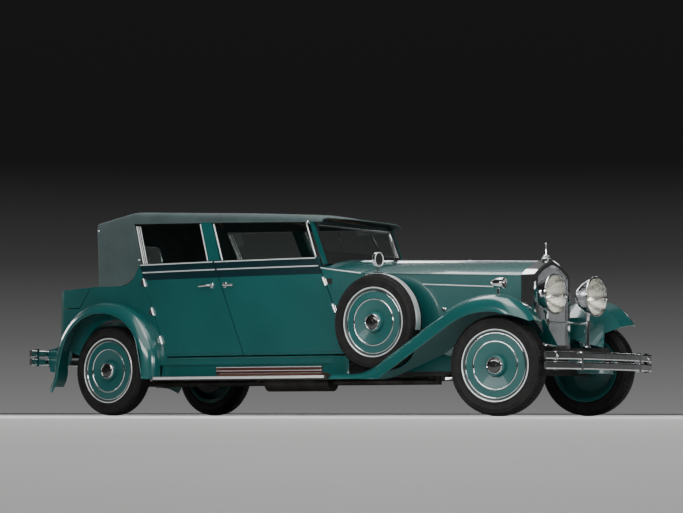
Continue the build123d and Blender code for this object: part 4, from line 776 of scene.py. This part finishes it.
# Small lamps: plated bullets on the wing crests with clear domes, and round tail lamps with ruby glass
# in plated cups. Each glass is held by a rolled rim.
def pebbled(tree, place, scale):
    """Close round cells over the piece."""
    cells = node_of(tree, "TexVoronoi", Scale=scale)
    tree.links.new(place, cells.inputs["Vector"])
    return cells.outputs["Distance"]


ruby, tree, shader, place = new_finish("ruby_glass")
coloured_by(tree, shader, speckle(tree, place, 60.0), (0.30, 0.006, 0.005), (0.42, 0.012, 0.010))
shader.inputs["Roughness"].default_value = 0.08
shader.inputs["Coat Weight"].default_value = 1.0
raised(tree, shader, pebbled(tree, place, 160.0), 0.0015, 0.6)
dress(chrome, "tail_lamps")

SMALL_LENS = [
    (0, 0.0), (0.012, -0.0006), (0.024, -0.0030), (0.033, -0.0075),
    (0.0375, -0.0130), (0.0375, -0.0180), (0, -0.0180),
]
SMALL_RIM = [
    (0.0365, -0.0190), (0.0365, -0.0090), (0.0395, -0.0075),
    (0.0425, -0.0090), (0.0432, -0.0140), (0.0425, -0.0190),
]
SMALL_PROUD, SMALL_STEPS = 0.016, 48
SIDE_LAMP_Y, SIDE_LAMP_R, TAIL_LAMP_Y, TAIL_LAMP_Z = 0.755, 0.043, 0.400, 0.760
side_lamp_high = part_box("side_lamps")[1]
side_lamp_x, side_lamp_z = side_lamp_high[0] + SMALL_PROUD, side_lamp_high[2] - SIDE_LAMP_R
tail_lamp_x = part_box("tail_lamps")[0][0] - SMALL_PROUD
for label, profile, side_finish, tail_finish in (
    ("lens", SMALL_LENS, lens_glass, ruby),
    ("rim", SMALL_RIM, chrome, chrome),
):
    side_places, tail_places = [], []
    for side, sign in SIDES:
        front = Matrix.Translation((side_lamp_x, sign * SIDE_LAMP_Y, side_lamp_z)) @ facing_front
        rear = Matrix.Translation((tail_lamp_x, sign * TAIL_LAMP_Y, TAIL_LAMP_Z)) @ facing_rear
        side_places.append((f"side_lamp_{label}_{side}", "chassis", front))
        tail_places.append((f"tail_lamp_{label}_{side}", "chassis", rear))
    turned_set(profile, SMALL_STEPS, side_places, side_finish)
    turned_set(profile, SMALL_STEPS, tail_places, tail_finish)

# Bumper bolts: plated domed heads with a washer turned on, one near each end of the upper bars, which
# clamp the bars to their irons.
BOLT = [
    (0, 0.009), (0.005, 0.0086), (0.010, 0.0066), (0.0135, 0.0030),
    (0.0140, 0.0020), (0.0175, 0.0016), (0.0180, 0.0), (0, 0.0),
]
BOLT_Y, BOLT_ABOVE_MIDDLE, BOLT_SUNK, BOLT_STEPS = 0.700, 0.0385, 0.0005, 32
places = []
for row, y in enumerate((BOLT_Y, -BOLT_Y)):
    for end, way, turn in (("front", 1, facing_front), ("rear", -1, facing_rear)):
        bumper_low, bumper_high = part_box(f"{end}_bumper")
        z = (bumper_low[2] + bumper_high[2]) / 2 + BOLT_ABOVE_MIDDLE
        hit = skin_of(f"{end}_bumper").ray_cast(Vector((way * 4, y, z)), Vector((-way, 0, 0)))[0]
        bolt_at = Matrix.Translation((hit.x - way * BOLT_SUNK, y, z)) @ turn
        places.append((f"bumper_bolt_{end}_{row}", "chassis", bolt_at))
turned_set(BOLT, BOLT_STEPS, places, chrome)

# Hood trim: a slim bright moulding along each side panel and two turned catch handles below it, which
# hold the panel down on its ledge.
def bead(points, radius, smooth=False, closed=False):
    """A round rod along points, with its ends closed."""
    curve = bpy.data.curves.new("rod", "CURVE")
    curve.dimensions = "3D"
    curve.bevel_depth = radius
    curve.bevel_resolution = 3
    curve.use_fill_caps = True
    spline = curve.splines.new("NURBS" if smooth else "POLY")
    spline.points.add(len(points) - 1)
    for point, spot in zip(spline.points, points):
        point.co = (*spot, 1)
    spline.use_cyclic_u = closed
    if smooth:
        spline.order_u = 4
        spline.use_endpoint_u = True
        spline.resolution_u = 6
    rod = bpy.data.objects.new("rod", curve)
    bpy.context.scene.collection.objects.link(rod)
    pick_up(rod)
    bpy.ops.object.convert(target="MESH")
    return bpy.context.object


def along_skin(node, start, end, sign, proud, count=24):
    """Points that follow a panel's face between two (x, z) stations."""
    found = []
    for k in range(count + 1):
        x = start[0] + (end[0] - start[0]) * k / count
        z = start[1] + (end[1] - start[1]) * k / count
        y = skin(node, x, z, sign)
        if y is not None:
            found.append((x, y + sign * proud, z))
    return found


MOULDING_FROM, MOULDING_TO, MOULDING_PROUD, MOULDING_R = (1.355, 1.084), (2.021, 1.048), 0.001, 0.0045
CATCHES_AT, CATCH_SUNK, CATCH_STEPS = ((1.544, 0.874), (1.960, 0.860)), 0.0005, 32
CATCH = [
    (0, 0.030), (0.010, 0.0295), (0.0125, 0.027), (0.0125, 0.023), (0.007, 0.019),
    (0.0065, 0.006), (0.016, 0.004), (0.017, 0.0), (0, 0.0),
]
for side, sign in SIDES:
    leaf = f"hood_leaf_{side}"
    moulding = bead(along_skin(leaf, MOULDING_FROM, MOULDING_TO, sign, MOULDING_PROUD), MOULDING_R)
    finish_piece(moulding, f"hood_moulding_{side}", highlight_satin, leaf)
    places = []
    for spot, (x, z) in enumerate(CATCHES_AT):
        catch_at = Matrix.Translation((x, skin(leaf, x, z, sign) - sign * CATCH_SUNK, z)) @ outward(sign)
        places.append((f"hood_catch_{side}_{spot}", leaf, catch_at))
    turned_set(CATCH, CATCH_STEPS, places, chrome)

# Mirrors: a round glass in a plated shell on a short stem, strapped to the top of each spare tyre. The
# rims are rolled over the glass and over the back of the shell.
MIRROR_Z, MIRROR_HALF_T, MIRROR_RIM_R, MIRROR_ROLL_R = 1.288, 0.012, 0.0570, 0.0045
RIM_POINTS = 48
for side, sign in SIDES:
    for label, x in (("glass", SPARE_X - MIRROR_HALF_T), ("back", SPARE_X + MIRROR_HALF_T)):
        ring = []
        for step in range(RIM_POINTS):
            turn = 2 * pi * step / RIM_POINTS
            ring.append((x, sign * SPARE_Y + MIRROR_RIM_R * cos(turn), MIRROR_Z + MIRROR_RIM_R * sin(turn)))
        rim = bead(ring, MIRROR_ROLL_R, closed=True)
        finish_piece(rim, f"mirror_rim_{label}_{side}", highlight_satin, "chassis")

# Cowl and door trim: plated beads along the belt and the pin line, enamelled ones at the sill, lever
# handles on plates, and slim window channels standing on the door tops.
A_BELT, B_BELT, C_BELT, BELT, RAKE = 0.384, -0.675, -1.532, 1.335, 0.40403


def raked(belt_x, z):
    """Along a door's slanting edge."""
    return belt_x + (BELT - z) * RAKE


DOOR_SPANS = {"front": (B_BELT, A_BELT), "rear": (C_BELT, B_BELT)}
# The belt and pin beads take the satin plate with its painted highlight, which keeps them white.
DOOR_BEADS = (
    # name, height, radius, finish
    ("belt", 1.329, 0.0055, highlight_satin),
    ("pin", 1.262, 0.0058, highlight_satin),
    ("sill", 0.540, 0.0035, body_paint),
)
BEAD_INSET, BEAD_PROUD = 0.012, 0.0008
HANDLE_AT, HANDLE_Z, LEVER_R = {"front": (-0.545, 1), "rear": (-0.690, -1)}, 1.125, 0.0105
PLATE_HALF_X, PLATE_HALF_Z, PLATE_SUNK, PLATE_PROUD, PLATE_EDGE = 0.014, 0.024, 0.001, 0.007, 0.003
LEVER = [
    # along the door, out from it, up
    (0, 0.004, 0), (0, 0.022, 0), (0.004, 0.040, 0), (0.020, 0.047, 0),
    (0.060, 0.046, -0.001), (0.100, 0.042, -0.003), (0.116, 0.038, -0.004),
]
PANE_FOOT, PANE_TOP = 1.40, 1.55
CHANNEL_INSET, CHANNEL_STEP, CHANNEL_PROUD, CHANNEL_RADII = 0.006, 0.021, 0.002, (0.0060, 0.0032, 0.0032)
CHANNEL_POINTS = 9
COWL_SHOULDER = [(0.425, 1.249), (0.530, 1.231), (0.640, 1.2157), (0.740, 1.2018), (0.805, 1.1928)]
COWL_PROBE, COWL_DROP, COWL_BEAD_R = 0.006, 0.004, 0.0045
SILL_BEAD_FROM, SILL_BEAD_TO, SILL_BEAD_R = (-1.180, 0.497), (0.640, 0.497), 0.0055


def channel_line(glass, low, high, shift, sign):
    """Points up a window's edge, on the face of its glass."""
    found = []
    for k in range(CHANNEL_POINTS):
        spot = Vector(low).lerp(Vector(high), 0.02 + 0.96 * k / (CHANNEL_POINTS - 1))
        y = skin(glass, spot.x + shift, spot.z, sign)
        if y is not None:
            found.append((spot.x + shift, y + sign * CHANNEL_PROUD, spot.z))
    return found


for side, sign in SIDES:
    for end, (aft, fore) in DOOR_SPANS.items():
        panel, glass, body = f"door_{end}_{side}", f"door_glass_{end}_{side}", f"{end}_door_{side}"
        for label, z, radius, finish in DOOR_BEADS:
            rear_end, front_end = (raked(aft, z) + BEAD_INSET, z), (raked(fore, z) - BEAD_INSET, z)
            points = along_skin(panel, rear_end, front_end, sign, BEAD_PROUD)
            if len(points) > 2:
                finish_piece(bead(points, radius), f"door_{label}_bead_{end}_{side}", finish, body)
        x, way = HANDLE_AT[end]
        y = skin(panel, x, HANDLE_Z, sign)
        near, far = sorted((y - sign * PLATE_SUNK, y + sign * PLATE_PROUD))
        plate_low = (x - PLATE_HALF_X, near, HANDLE_Z - PLATE_HALF_Z)
        plate_high = (x + PLATE_HALF_X, far, HANDLE_Z + PLATE_HALF_Z)
        finish_piece(milled(plate_low, plate_high, PLATE_EDGE), f"handle_plate_{end}_{side}", chrome, body)
        grip = [(x + way * along, y + sign * out, HANDLE_Z + rise) for along, out, rise in LEVER]
        finish_piece(bead(grip, LEVER_R, True), f"door_handle_{end}_{side}", chrome, body)
        pane = [v.co for v in nodes[glass].data.vertices]
        foot = [c for c in pane if c.z < PANE_FOOT]
        top = [c for c in pane if c.z > PANE_TOP]
        for label, pick, inward, rows in (("front", max, -1, 1), ("rear", min, 1, 3 if end == "rear" else 1)):
            low, high = pick(foot, key=lambda c: c.x), pick(top, key=lambda c: c.x)
            for row in range(rows):
                shift = inward * (CHANNEL_INSET + row * CHANNEL_STEP)
                points = channel_line(glass, low, high, shift, sign)
                if len(points) > 2:
                    channel = bead(points, CHANNEL_RADII[row])
                    finish_piece(channel, f"window_channel_{label}_{row}_{end}_{side}", highlight_satin, body)
    points = []
    for x, z in COWL_SHOULDER:
        y = skin("cowl", x, z - COWL_PROBE, sign)
        if y is not None:
            points.append((x, y + sign * BEAD_PROUD, z - COWL_DROP))
    finish_piece(bead(points, COWL_BEAD_R), f"cowl_bead_{side}", highlight_satin, "chassis")
    sill = along_skin("floor", SILL_BEAD_FROM, SILL_BEAD_TO, sign, 0.0005, 40)
    finish_piece(bead(sill, SILL_BEAD_R), f"sill_bead_{side}", body_paint, "chassis")

# Wing lips: the sheet is rolled over a wire along the outer edge, and the roll is enamelled with the
# wing. It follows the lowest points of the wing's outermost edge.
LIP_R, LIP_IN, LIP_UP, LIP_BAND, LIP_STEP = 0.0058, 0.0062, 0.003, 0.006, 0.045
for wings in ("front_wings", "rear_wings"):
    edge = max(v.co.y for v in nodes[wings].data.vertices)
    for side, sign in SIDES:
        lowest = {}
        for vertex in nodes[wings].data.vertices:
            if sign * vertex.co.y > edge - LIP_BAND:
                station = round(vertex.co.x / LIP_STEP)
                if station not in lowest or vertex.co.z < lowest[station].z:
                    lowest[station] = vertex.co.copy()
        lip = [(lowest[key].x, sign * (edge - LIP_IN), lowest[key].z + LIP_UP) for key in sorted(lowest)]
        finish_piece(bead(lip, LIP_R, True), f"{wings}_lip_{side}", body_paint, "chassis", 60)

# Windscreen: flat glass in a plated frame between body-coloured posts, with a bright inner bead, a
# ball-ended clamp screw at each top corner and two wipers hung from the header.
SCREEN_HALF, SCREEN_LOW, SCREEN_HIGH, SCREEN_AHEAD = 0.524, 1.385, 1.621, 0.030
SCREEN_CORNER, SCREEN_BEVEL = 0.03, 0.008
POST_INNER_Y = 0.556


def on_screen(y, z, proud):
    """A point on the raked screen, standing off its face."""
    return (raked(A_BELT, z) + SCREEN_AHEAD + proud, y, z)


plated_frame, tree, shader, place = new_finish("screen_frame_plate")
on_post = part_of(tree, place, "|Y", POST_INNER_Y)
cloud = speckle(tree, place, 26.0, 4.0)
plate_tone = graded(tree, cloud, (0.60, 0.61, 0.62), (0.68, 0.69, 0.70))
tree.links.new(two_tone(tree, on_post, plate_tone, TEAL_LOW), shader.inputs["Base Color"])
tree.links.new(spread(tree, on_post, 1.0, 0.0), shader.inputs["Metallic"])
dulled_by(tree, shader, cloud, 0.10, 0.20)
shader.inputs["Coat Weight"].default_value = 0.5
dress(plated_frame, "windscreen_frame")

left_rim = [
    (SCREEN_HALF - SCREEN_CORNER, SCREEN_LOW),
    (SCREEN_HALF - SCREEN_BEVEL, SCREEN_LOW + SCREEN_BEVEL),
    (SCREEN_HALF, SCREEN_LOW + SCREEN_CORNER),
    (SCREEN_HALF, SCREEN_HIGH - SCREEN_CORNER),
    (SCREEN_HALF - SCREEN_BEVEL, SCREEN_HIGH - SCREEN_BEVEL),
    (SCREEN_HALF - SCREEN_CORNER, SCREEN_HIGH),
]
screen_rim = [(SCREEN_CORNER - SCREEN_HALF, SCREEN_LOW), *left_rim]
screen_rim += [(-y, z) for y, z in reversed(left_rim[1:])]
screen_bead = bead([on_screen(y, z, 0.002) for y, z in screen_rim], 0.0055, closed=True)
finish_piece(screen_bead, "screen_bead", chrome, "chassis")

KNOB_Y, KNOB_Z, KNOB_STEPS = 0.572, 1.640, 32
BALL_KNOB = [
    (0, 0.030), (0.007, 0.0285), (0.0125, 0.023), (0.0140, 0.016), (0.0125, 0.009),
    (0.007, 0.0045), (0.0065, -0.004), (0.012, -0.006), (0.012, -0.012), (0, -0.012),
]
WIPER_ARM = [(0.215, 1.628, 0.012), (0.222, 1.600, 0.016), (0.240, 1.540, 0.010), (0.262, 1.470, 0.006)]
WIPER_BLADE = [(0.228, 1.575, 0.006), (0.255, 1.490, 0.005), (0.280, 1.412, 0.006)]
places = []
for side, sign in SIDES:
    knob_at = Matrix.Translation((raked(A_BELT, KNOB_Z), sign * KNOB_Y, KNOB_Z)) @ outward(sign)
    places.append((f"screen_knob_{side}", "chassis", knob_at))
    arm = bead([on_screen(sign * y, z, proud) for y, z, proud in WIPER_ARM], 0.0035, True)
    finish_piece(arm, f"wiper_arm_{side}", chrome, "chassis")
    blade = bead([on_screen(sign * y, z, proud) for y, z, proud in WIPER_BLADE], 0.0042)
    finish_piece(blade, f"wiper_blade_{side}", rubber, "chassis")
turned_set(BALL_KNOB, KNOB_STEPS, places, chrome)

# Soft top: one waterproofed canvas cover drawn tight over wooden bows, from the screen header to the
# tail deck, with rounded rear corners, an opening for the back light and corded edges. It is fixed up.
canvas, tree, shader, place = new_finish("top_canvas")
weave = node_of(tree, "Math", operation="ADD")
for thread, direction in enumerate(("X", "DIAGONAL")):
    tree.links.new(banded(tree, place, direction, 330.0), weave.inputs[thread])
coloured_by(tree, shader, speckle(tree, place, 5.0, 6.0), (0.027, 0.050, 0.050), (0.040, 0.067, 0.067))
dulled_by(tree, shader, speckle(tree, place, 40.0), 0.78, 0.92)
shader.inputs["Sheen Weight"].default_value = 0.08
raised(tree, shader, weave.outputs[0], 0.0006, 0.5)

ROOF = [
    # station, half width, shoulder and crown heights
    (-2.175, 0.589, 1.704, 1.762), (-1.695, 0.640, 1.775, 1.846), (-0.675, 0.648, 1.715, 1.795),
    (0.120, 0.596, 1.670, 1.740), (0.395, 0.570, 1.632, 1.682),
]
QUARTER = [
    # station at the shoulder, station and height at the lower edge
    (-2.172, -2.065, 1.159), (-2.135, -2.035, 1.158), (-2.09, -1.995, 1.157), (-2.03, -1.93, 1.156),
    (-1.95, -1.85, 1.154), (-1.87, -1.76, 1.156), (-1.80, -1.675, 1.174), (-1.735, -1.605, 1.224),
    (-1.684, -1.531, 1.344),
]
OVER_WINDOWS = [
    -1.62, -1.52, -1.40, -1.25, -1.08, -0.88, -0.675, -0.47, -0.27, -0.08, 0.10, 0.22, 0.32, 0.375, 0.394,
]
SIDE_LEVELS = [0, 0.145, 0.254, 0.36, 0.46, 0.565, 0.67, 0.78, 0.88, 0.95, 1]
ACROSS = [0, 0.05, 0.2, 0.4, 0.6, 0.8]
CORNER_MID_IN, CORNER_MID_UP, CORNER_IN, CORNER_UP, CROWN_BOW = 0.015, 0.027, 0.070, 0.042, 0.35
BODY_HALF, PLAN_R, PLAN_APEX = 0.725, 11.2, -1.095
DECK_Z, TUCK_IN, HEM_OUT = 1.137, 0.004, 0.026
HEM_REAR, HEM_FRONT = (-1.700, 1.712), (0.235, 1.646)
LIGHT_LEVELS, LIGHT_COLUMNS = (2, 5), (4, 8)
COVER_MERGE, COVER_T = 0.00005, 0.004


def side_y(x):
    """The body's plan curve at the belt."""
    return BODY_HALF - PLAN_R + sqrt(PLAN_R**2 - (x - PLAN_APEX) ** 2)


def roof_at(x):
    """Half width, shoulder and crown of the top at a station."""
    for one, two in zip(ROOF, ROOF[1:]):
        if x <= two[0]:
            break
    part = max(0.0, min(1.0, (x - one[0]) / (two[0] - one[0])))
    return [a + (b - a) * part for a, b in zip(one[1:], two[1:])]


def flank_y(x, z, half, shoulder):
    """Half width of the drawn cloth below the shoulder, down to where it is tucked behind the body."""
    return half + (side_y(x) - TUCK_IN - half) * (shoulder - z) / (shoulder - DECK_Z)


def hem_z(x):
    """Lower edge of the cloth above the windows."""
    return HEM_REAR[1] + (x - HEM_REAR[0]) * (HEM_FRONT[1] - HEM_REAR[1]) / (HEM_FRONT[0] - HEM_REAR[0])


def half_hoop(x):
    """From the shoulder in over the corner and up to just short of the crown."""
    half, shoulder, crown = roof_at(x)
    rise = crown - shoulder - CORNER_UP
    found = [(x, half, shoulder), (x, half - CORNER_MID_IN, shoulder + CORNER_MID_UP)]
    for part in ACROSS:
        z = shoulder + CORNER_UP + rise * (part + CROWN_BOW * part * (1 - part))
        found.append((x, (half - CORNER_IN) * (1 - part), z))
    return found, (x, 0, crown)


def other_side(row):
    """A row of points carried on to the other side of the car."""
    return [(x, -y, z) for x, y, z in reversed(row)]


points = []


def put(row):
    """Adds points to the cover and gives their numbers."""
    points.extend(row)
    return list(range(len(points) - len(row), len(points)))


hoops = []
for top_x, low_x, low_z in QUARTER:
    arch, crest = half_hoop(top_x)
    half, shoulder, _ = roof_at(top_x)
    flank = []
    for level in reversed(SIDE_LEVELS[1:]):
        x, z = top_x + (low_x - top_x) * level, shoulder + (low_z - shoulder) * level
        flank.append((x, flank_y(x, z, half, shoulder), z))
    hoops.append(put(flank + arch + [crest] + other_side(flank + arch)))
faces = [(a[i], b[i], b[i + 1], a[i + 1]) for a, b in zip(hoops, hoops[1:]) for i in range(len(a) - 1)]

below_hem = len(SIDE_LEVELS) - 2
before = hoops[-1][below_hem : len(hoops[-1]) - below_hem]
hem_left = [points[before[0]]]
for x in OVER_WINDOWS:
    arch, crest = half_hoop(x)
    half, shoulder, _ = roof_at(x)
    z = hem_z(x)
    hem = (x, half + HEM_OUT * (shoulder - z) / (shoulder - DECK_Z), z)
    row = put([hem] + arch + [crest] + other_side([hem] + arch))
    faces += [(before[i], row[i], row[i + 1], before[i + 1]) for i in range(len(row) - 1)]
    before = row
    hem_left.append(hem)

first = hoops[0]
shares = [1 - part for part in ACROSS[1:]]
shares += [0] + [-share for share in reversed(shares)]
rows = []
for k in range(len(SIDE_LEVELS) + 2):
    one, two = Vector(points[first[k]]), Vector(points[first[-1 - k]])
    inner = put([tuple(one.lerp(two, (1 - share) / 2)) for share in shares])
    rows.append([first[k]] + inner + [first[-1 - k]])
light_high, light_low = [len(SIDE_LEVELS) - 1 - level for level in LIGHT_LEVELS]
for k in range(len(rows) - 1):
    for i in range(len(rows[k]) - 1):
        in_light = light_low <= k < light_high and LIGHT_COLUMNS[0] <= i < LIGHT_COLUMNS[1]
        if not in_light:
            faces.append((rows[k][i], rows[k][i + 1], rows[k + 1][i + 1], rows[k + 1][i]))
arc = first[len(SIDE_LEVELS) + 1 : len(first) - len(SIDE_LEVELS) - 1]
for i in range(len(arc) - 1):
    corner_face = [rows[-1][i], rows[-1][i + 1], arc[i + 1], arc[i]]
    faces.append(tuple(dict.fromkeys(corner_face)))

cover = bpy.data.objects.new("soft_top_cover", bpy.data.meshes.new("soft_top_cover"))
cover.data.from_pydata(points, [], faces)
bpy.context.scene.collection.objects.link(cover)
close_shell(cover, COVER_MERGE)
apply_modifier(cover, "SUBSURF", levels=2, render_levels=2, boundary_smooth="PRESERVE_CORNERS")
apply_modifier(cover, "SOLIDIFY", thickness=COVER_T, offset=-1.0)
finish_piece(cover, "soft_top_cover", canvas, "chassis", 60)
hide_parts("soft_top")

CORD_R, CORD_PROUD = 0.0055, 0.001
FASTENERS_AT, FASTENER_SHARE, FASTENER_SUNK = ((-2.128, 1.667), (-1.559, 1.379)), 0.8, 0.012
window_edge = [points[i] for i in hoops[-1][: below_hem + 1]]
quarter_edge = [points[hoop[0]] for hoop in reversed(hoops)]
side_edge = hem_left[::-1] + window_edge[::-1][1:] + quarter_edge[1:]
places = []
for side, sign in SIDES:
    cord = bead([(x, sign * (y + CORD_PROUD), z) for x, y, z in side_edge], CORD_R)
    finish_piece(cord, f"top_cord_{side}", canvas, "chassis", 60)
    for spot, (x, z) in enumerate(FASTENERS_AT):
        half, shoulder, _ = roof_at(x)
        y = flank_y(x, min(z, shoulder), half, shoulder) - FASTENER_SUNK
        fastener_at = Matrix.Translation((x, sign * y, z)) @ outward(sign) @ Matrix.Scale(FASTENER_SHARE, 4)
        places.append((f"top_fastener_{side}_{spot}", "chassis", fastener_at))
turned_set(BALL_KNOB, KNOB_STEPS, places, chrome)
back_edge = [(points[i][0] - CORD_PROUD, *points[i][1:]) for i in rows[0]]
finish_piece(bead(back_edge, CORD_R), "top_cord_back", canvas, "chassis", 60)
header_edge = [(points[i][0] + CORD_PROUD, *points[i][1:]) for i in before]
finish_piece(bead(header_edge, CORD_R), "top_cord_front", canvas, "chassis", 60)
opening = slice(LIGHT_COLUMNS[0], LIGHT_COLUMNS[1] + 1)
light_ring = [points[i] for i in rows[light_low][opening] + rows[light_high][opening][::-1]]
light_bead = bead([(x - 0.002, y, z) for x, y, z in light_ring], 0.007, closed=True)
finish_piece(light_bead, "back_light_bead", chrome, "chassis")

bow_ash, tree, shader, place = new_finish("bow_ash_wood")
grain = grained(tree, place, (18.0, 1.5, 18.0), 4.0, 8.0)
coloured_by(tree, shader, grain, (0.16, 0.10, 0.055), (0.27, 0.185, 0.11))
dulled_by(tree, shader, grain, 0.42, 0.6)
raised(tree, shader, grain, 0.0005, 0.5)
BOWS_AT, BOW_R = (-1.690, -0.690, 0.020), 0.014
BOW_SHARE, BOW_IN, BOW_DOWN, BOW_CREST_DOWN = 0.965, 0.004, 0.022, 0.024
for row, x in enumerate(BOWS_AT):
    arch, crest = half_hoop(x)
    left_bow = [(a, b * BOW_SHARE - BOW_IN, c - BOW_DOWN) for a, b, c in arch]
    bow = left_bow + [(x, 0, crest[2] - BOW_CREST_DOWN)] + other_side(left_bow)
    finish_piece(bead(bow, BOW_R, True), f"top_bow_{row}", bow_ash, "chassis", 60)

# Seats: two full-width benches of horsehair and spring under pleated hide, each a cushion and a
# squab on a boxed base that is covered in the same hide.
hide, tree, shader, place = new_finish("seat_hide")
worn = speckle(tree, place, 7.0, 5.0)
coloured_by(tree, shader, worn, (0.040, 0.036, 0.030), (0.068, 0.060, 0.050))
dulled_by(tree, shader, worn, 0.38, 0.56)
raised(tree, shader, pebbled(tree, place, 420.0), 0.0004, 0.5)

PLEATS, PLEAT_DEPTH, PLEAT_SHARPNESS = 11, 0.13, 5.0
PAD_CORE, PAD_CROWN, PAD_ROUND, PAD_DRAW, PAD_END = 0.82, 0.18, 0.10, 0.015, 0.03


def cushion(long, wide, thick):
    """A crowned pad with sewn channels, its sides drawn in between the corners."""
    lay_tools_down()
    bpy.ops.mesh.primitive_cube_add(size=2)
    pad = bpy.context.object
    bpy.ops.object.mode_set(mode="EDIT")
    bpy.ops.mesh.subdivide(number_cuts=23)
    bpy.ops.object.mode_set(mode="OBJECT")
    for vertex in pad.data.vertices:
        u, v, w = vertex.co
        length = 1 - PAD_ROUND * max(0.0, abs(w) - 0.55) / 0.45
        length *= 1 - PAD_DRAW * (1 - abs(w))
        width = 1 - PAD_END * max(0.0, abs(w) - 0.5)
        height = w * PAD_CORE + PAD_CROWN * (1 - u * u) * (1 - v**4) * max(0.0, w)
        if w > 0.6 and abs(u) < 0.86 and abs(v) < 0.97:
            fold = abs(cos(pi * PLEATS * (v + 1) / 2))
            height -= PLEAT_DEPTH * (1 - min(1.0, fold * PLEAT_SHARPNESS))
        vertex.co = (u * long / 2 * length, v * wide / 2 * width, height * thick / 2)
    apply_modifier(pad, "SUBSURF", levels=1, render_levels=1)
    return pad


CUSHION_T, CUSHION_TILT, SQUAB_T, BASE_INSET, BASE_EDGE = 0.165, radians(-3), 0.150, 0.03, 0.012
BENCHES = [
    # name, cushion centre, its depth and width, squab foot and head, lower and upper base corner
    ("front", (-0.120, 0.690), 0.500, 1.080,
     (-0.365, 0.765), (-0.505, 1.165), (-0.490, 0.475), (-0.010, 0.615)),
    ("rear", (-1.505, 0.815), 0.460, 0.960,
     (-1.730, 0.870), (-1.910, 1.265), (-1.930, 0.670), (-1.310, 0.740)),
]
for label, (x, z), deep, wide, foot, crest, base_low, base_high in BENCHES:
    pad = cushion(deep, wide, CUSHION_T)
    pad.data.transform(Matrix.Translation((x, 0, z)) @ Matrix.Rotation(CUSHION_TILT, 4, "Y"))
    pad = finish_piece(pad, f"{label}_seat_cushion", hide, "chassis", 60)
    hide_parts(f"{label}_seat")
    run = Vector((crest[0] - foot[0], 0, crest[1] - foot[1]))
    rise = run.normalized()
    middle = Vector((foot[0] + crest[0], 0, foot[1] + crest[1])) / 2
    squab = cushion(run.length, wide, SQUAB_T)
    leaned = Matrix(
        (
            (rise.x, 0, rise.z, middle.x),
            (0, -1, 0, 0),
            (rise.z, 0, -rise.x, middle.z),
            (0, 0, 0, 1),
        )
    )
    squab.data.transform(leaned)
    squab = finish_piece(squab, f"{label}_seat_squab", hide, "chassis", 60)
    half_base = wide / 2 - BASE_INSET
    base = milled((base_low[0], -half_base, base_low[1]), (base_high[0], half_base, base_high[1]), BASE_EDGE)
    finish_piece(base, f"{label}_seat_base", hide, "chassis")

# Dashboard and steering: a polished walnut board across the cowl with three plated dials let into it,
# and a wheel and column of black composition moulded over steel.
walnut, tree, shader, place = new_finish("dash_walnut")
figure = grained(tree, place, (16.0, 1.4, 16.0), 4.5, 9.0)
coloured_by(tree, shader, figure, (0.030, 0.011, 0.005), (0.115, 0.048, 0.020))
dulled_by(tree, shader, figure, 0.14, 0.26)
shader.inputs["Coat Weight"].default_value = 0.8
dress(walnut, "dashboard")

composition, tree, shader, place = new_finish("black_composition")
tone = speckle(tree, place, 22.0, 5.0)
coloured_by(tree, shader, tone, (0.008, 0.008, 0.008), (0.017, 0.017, 0.016))
dulled_by(tree, shader, tone, 0.18, 0.34)
dress(composition, "steering_wheel", "steering_column")

DIALS_AT, DIAL_SHARE, DIAL_LEVEL, DIAL_STEPS = (-0.10, 0.0, 0.10), 0.85, 0.55, 48
DIAL = [
    (0, 0.004), (0.036, 0.004), (0.038, 0.009), (0.043, 0.010), (0.046, 0.006), (0.046, -0.002), (0, -0.002),
]
dash_low, dash_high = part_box("dashboard")
dial_z = dash_low[2] + (dash_high[2] - dash_low[2]) * DIAL_LEVEL
places = []
for row, y in enumerate(DIALS_AT):
    dial_at = Matrix.Translation((dash_low[0], y, dial_z)) @ facing_rear @ Matrix.Scale(DIAL_SHARE, 4)
    places.append((f"dash_dial_{row}", "chassis", dial_at))
turned_set(DIAL, DIAL_STEPS, places, chrome)

# Door cards: boards covered in pleated hide, one on the inner face of each door, following its slanted
# edges and the curve of the body.
CARD_LOW, CARD_HIGH = {"front": 0.665, "rear": 0.800}, 1.285
CARD_INSET, CARD_BEHIND, CARD_T = 0.075, 0.0570, 0.004
CARD_PLEATS, CARD_PLEAT_DEPTH, CARD_PLEAT_FROM, CARD_PLEAT_TO = 12, 0.004, 0.12, 0.80
for side, sign in SIDES:
    for end, (aft, fore) in DOOR_SPANS.items():
        lay_tools_down()
        bpy.ops.mesh.primitive_grid_add(x_subdivisions=48, y_subdivisions=14, size=2)
        card = bpy.context.object
        for vertex in card.data.vertices:
            u, v = (vertex.co.x + 1) / 2, (vertex.co.y + 1) / 2
            z = CARD_LOW[end] + (CARD_HIGH - CARD_LOW[end]) * v
            near, far = raked(aft, z) + CARD_INSET, raked(fore, z) - CARD_INSET
            x = near + (far - near) * u
            pleated = CARD_PLEAT_FROM < v < CARD_PLEAT_TO
            pad = CARD_PLEAT_DEPTH * abs(sin(pi * CARD_PLEATS * u)) if pleated else 0
            vertex.co = (x, sign * (side_y(x) - CARD_BEHIND - pad), z)
        apply_modifier(card, "SOLIDIFY", thickness=CARD_T, offset=-sign)
        close_shell(card)
        finish_piece(card, f"door_card_{end}_{side}", hide, f"{end}_door_{side}", 40)

bpy.context.view_layer.update()
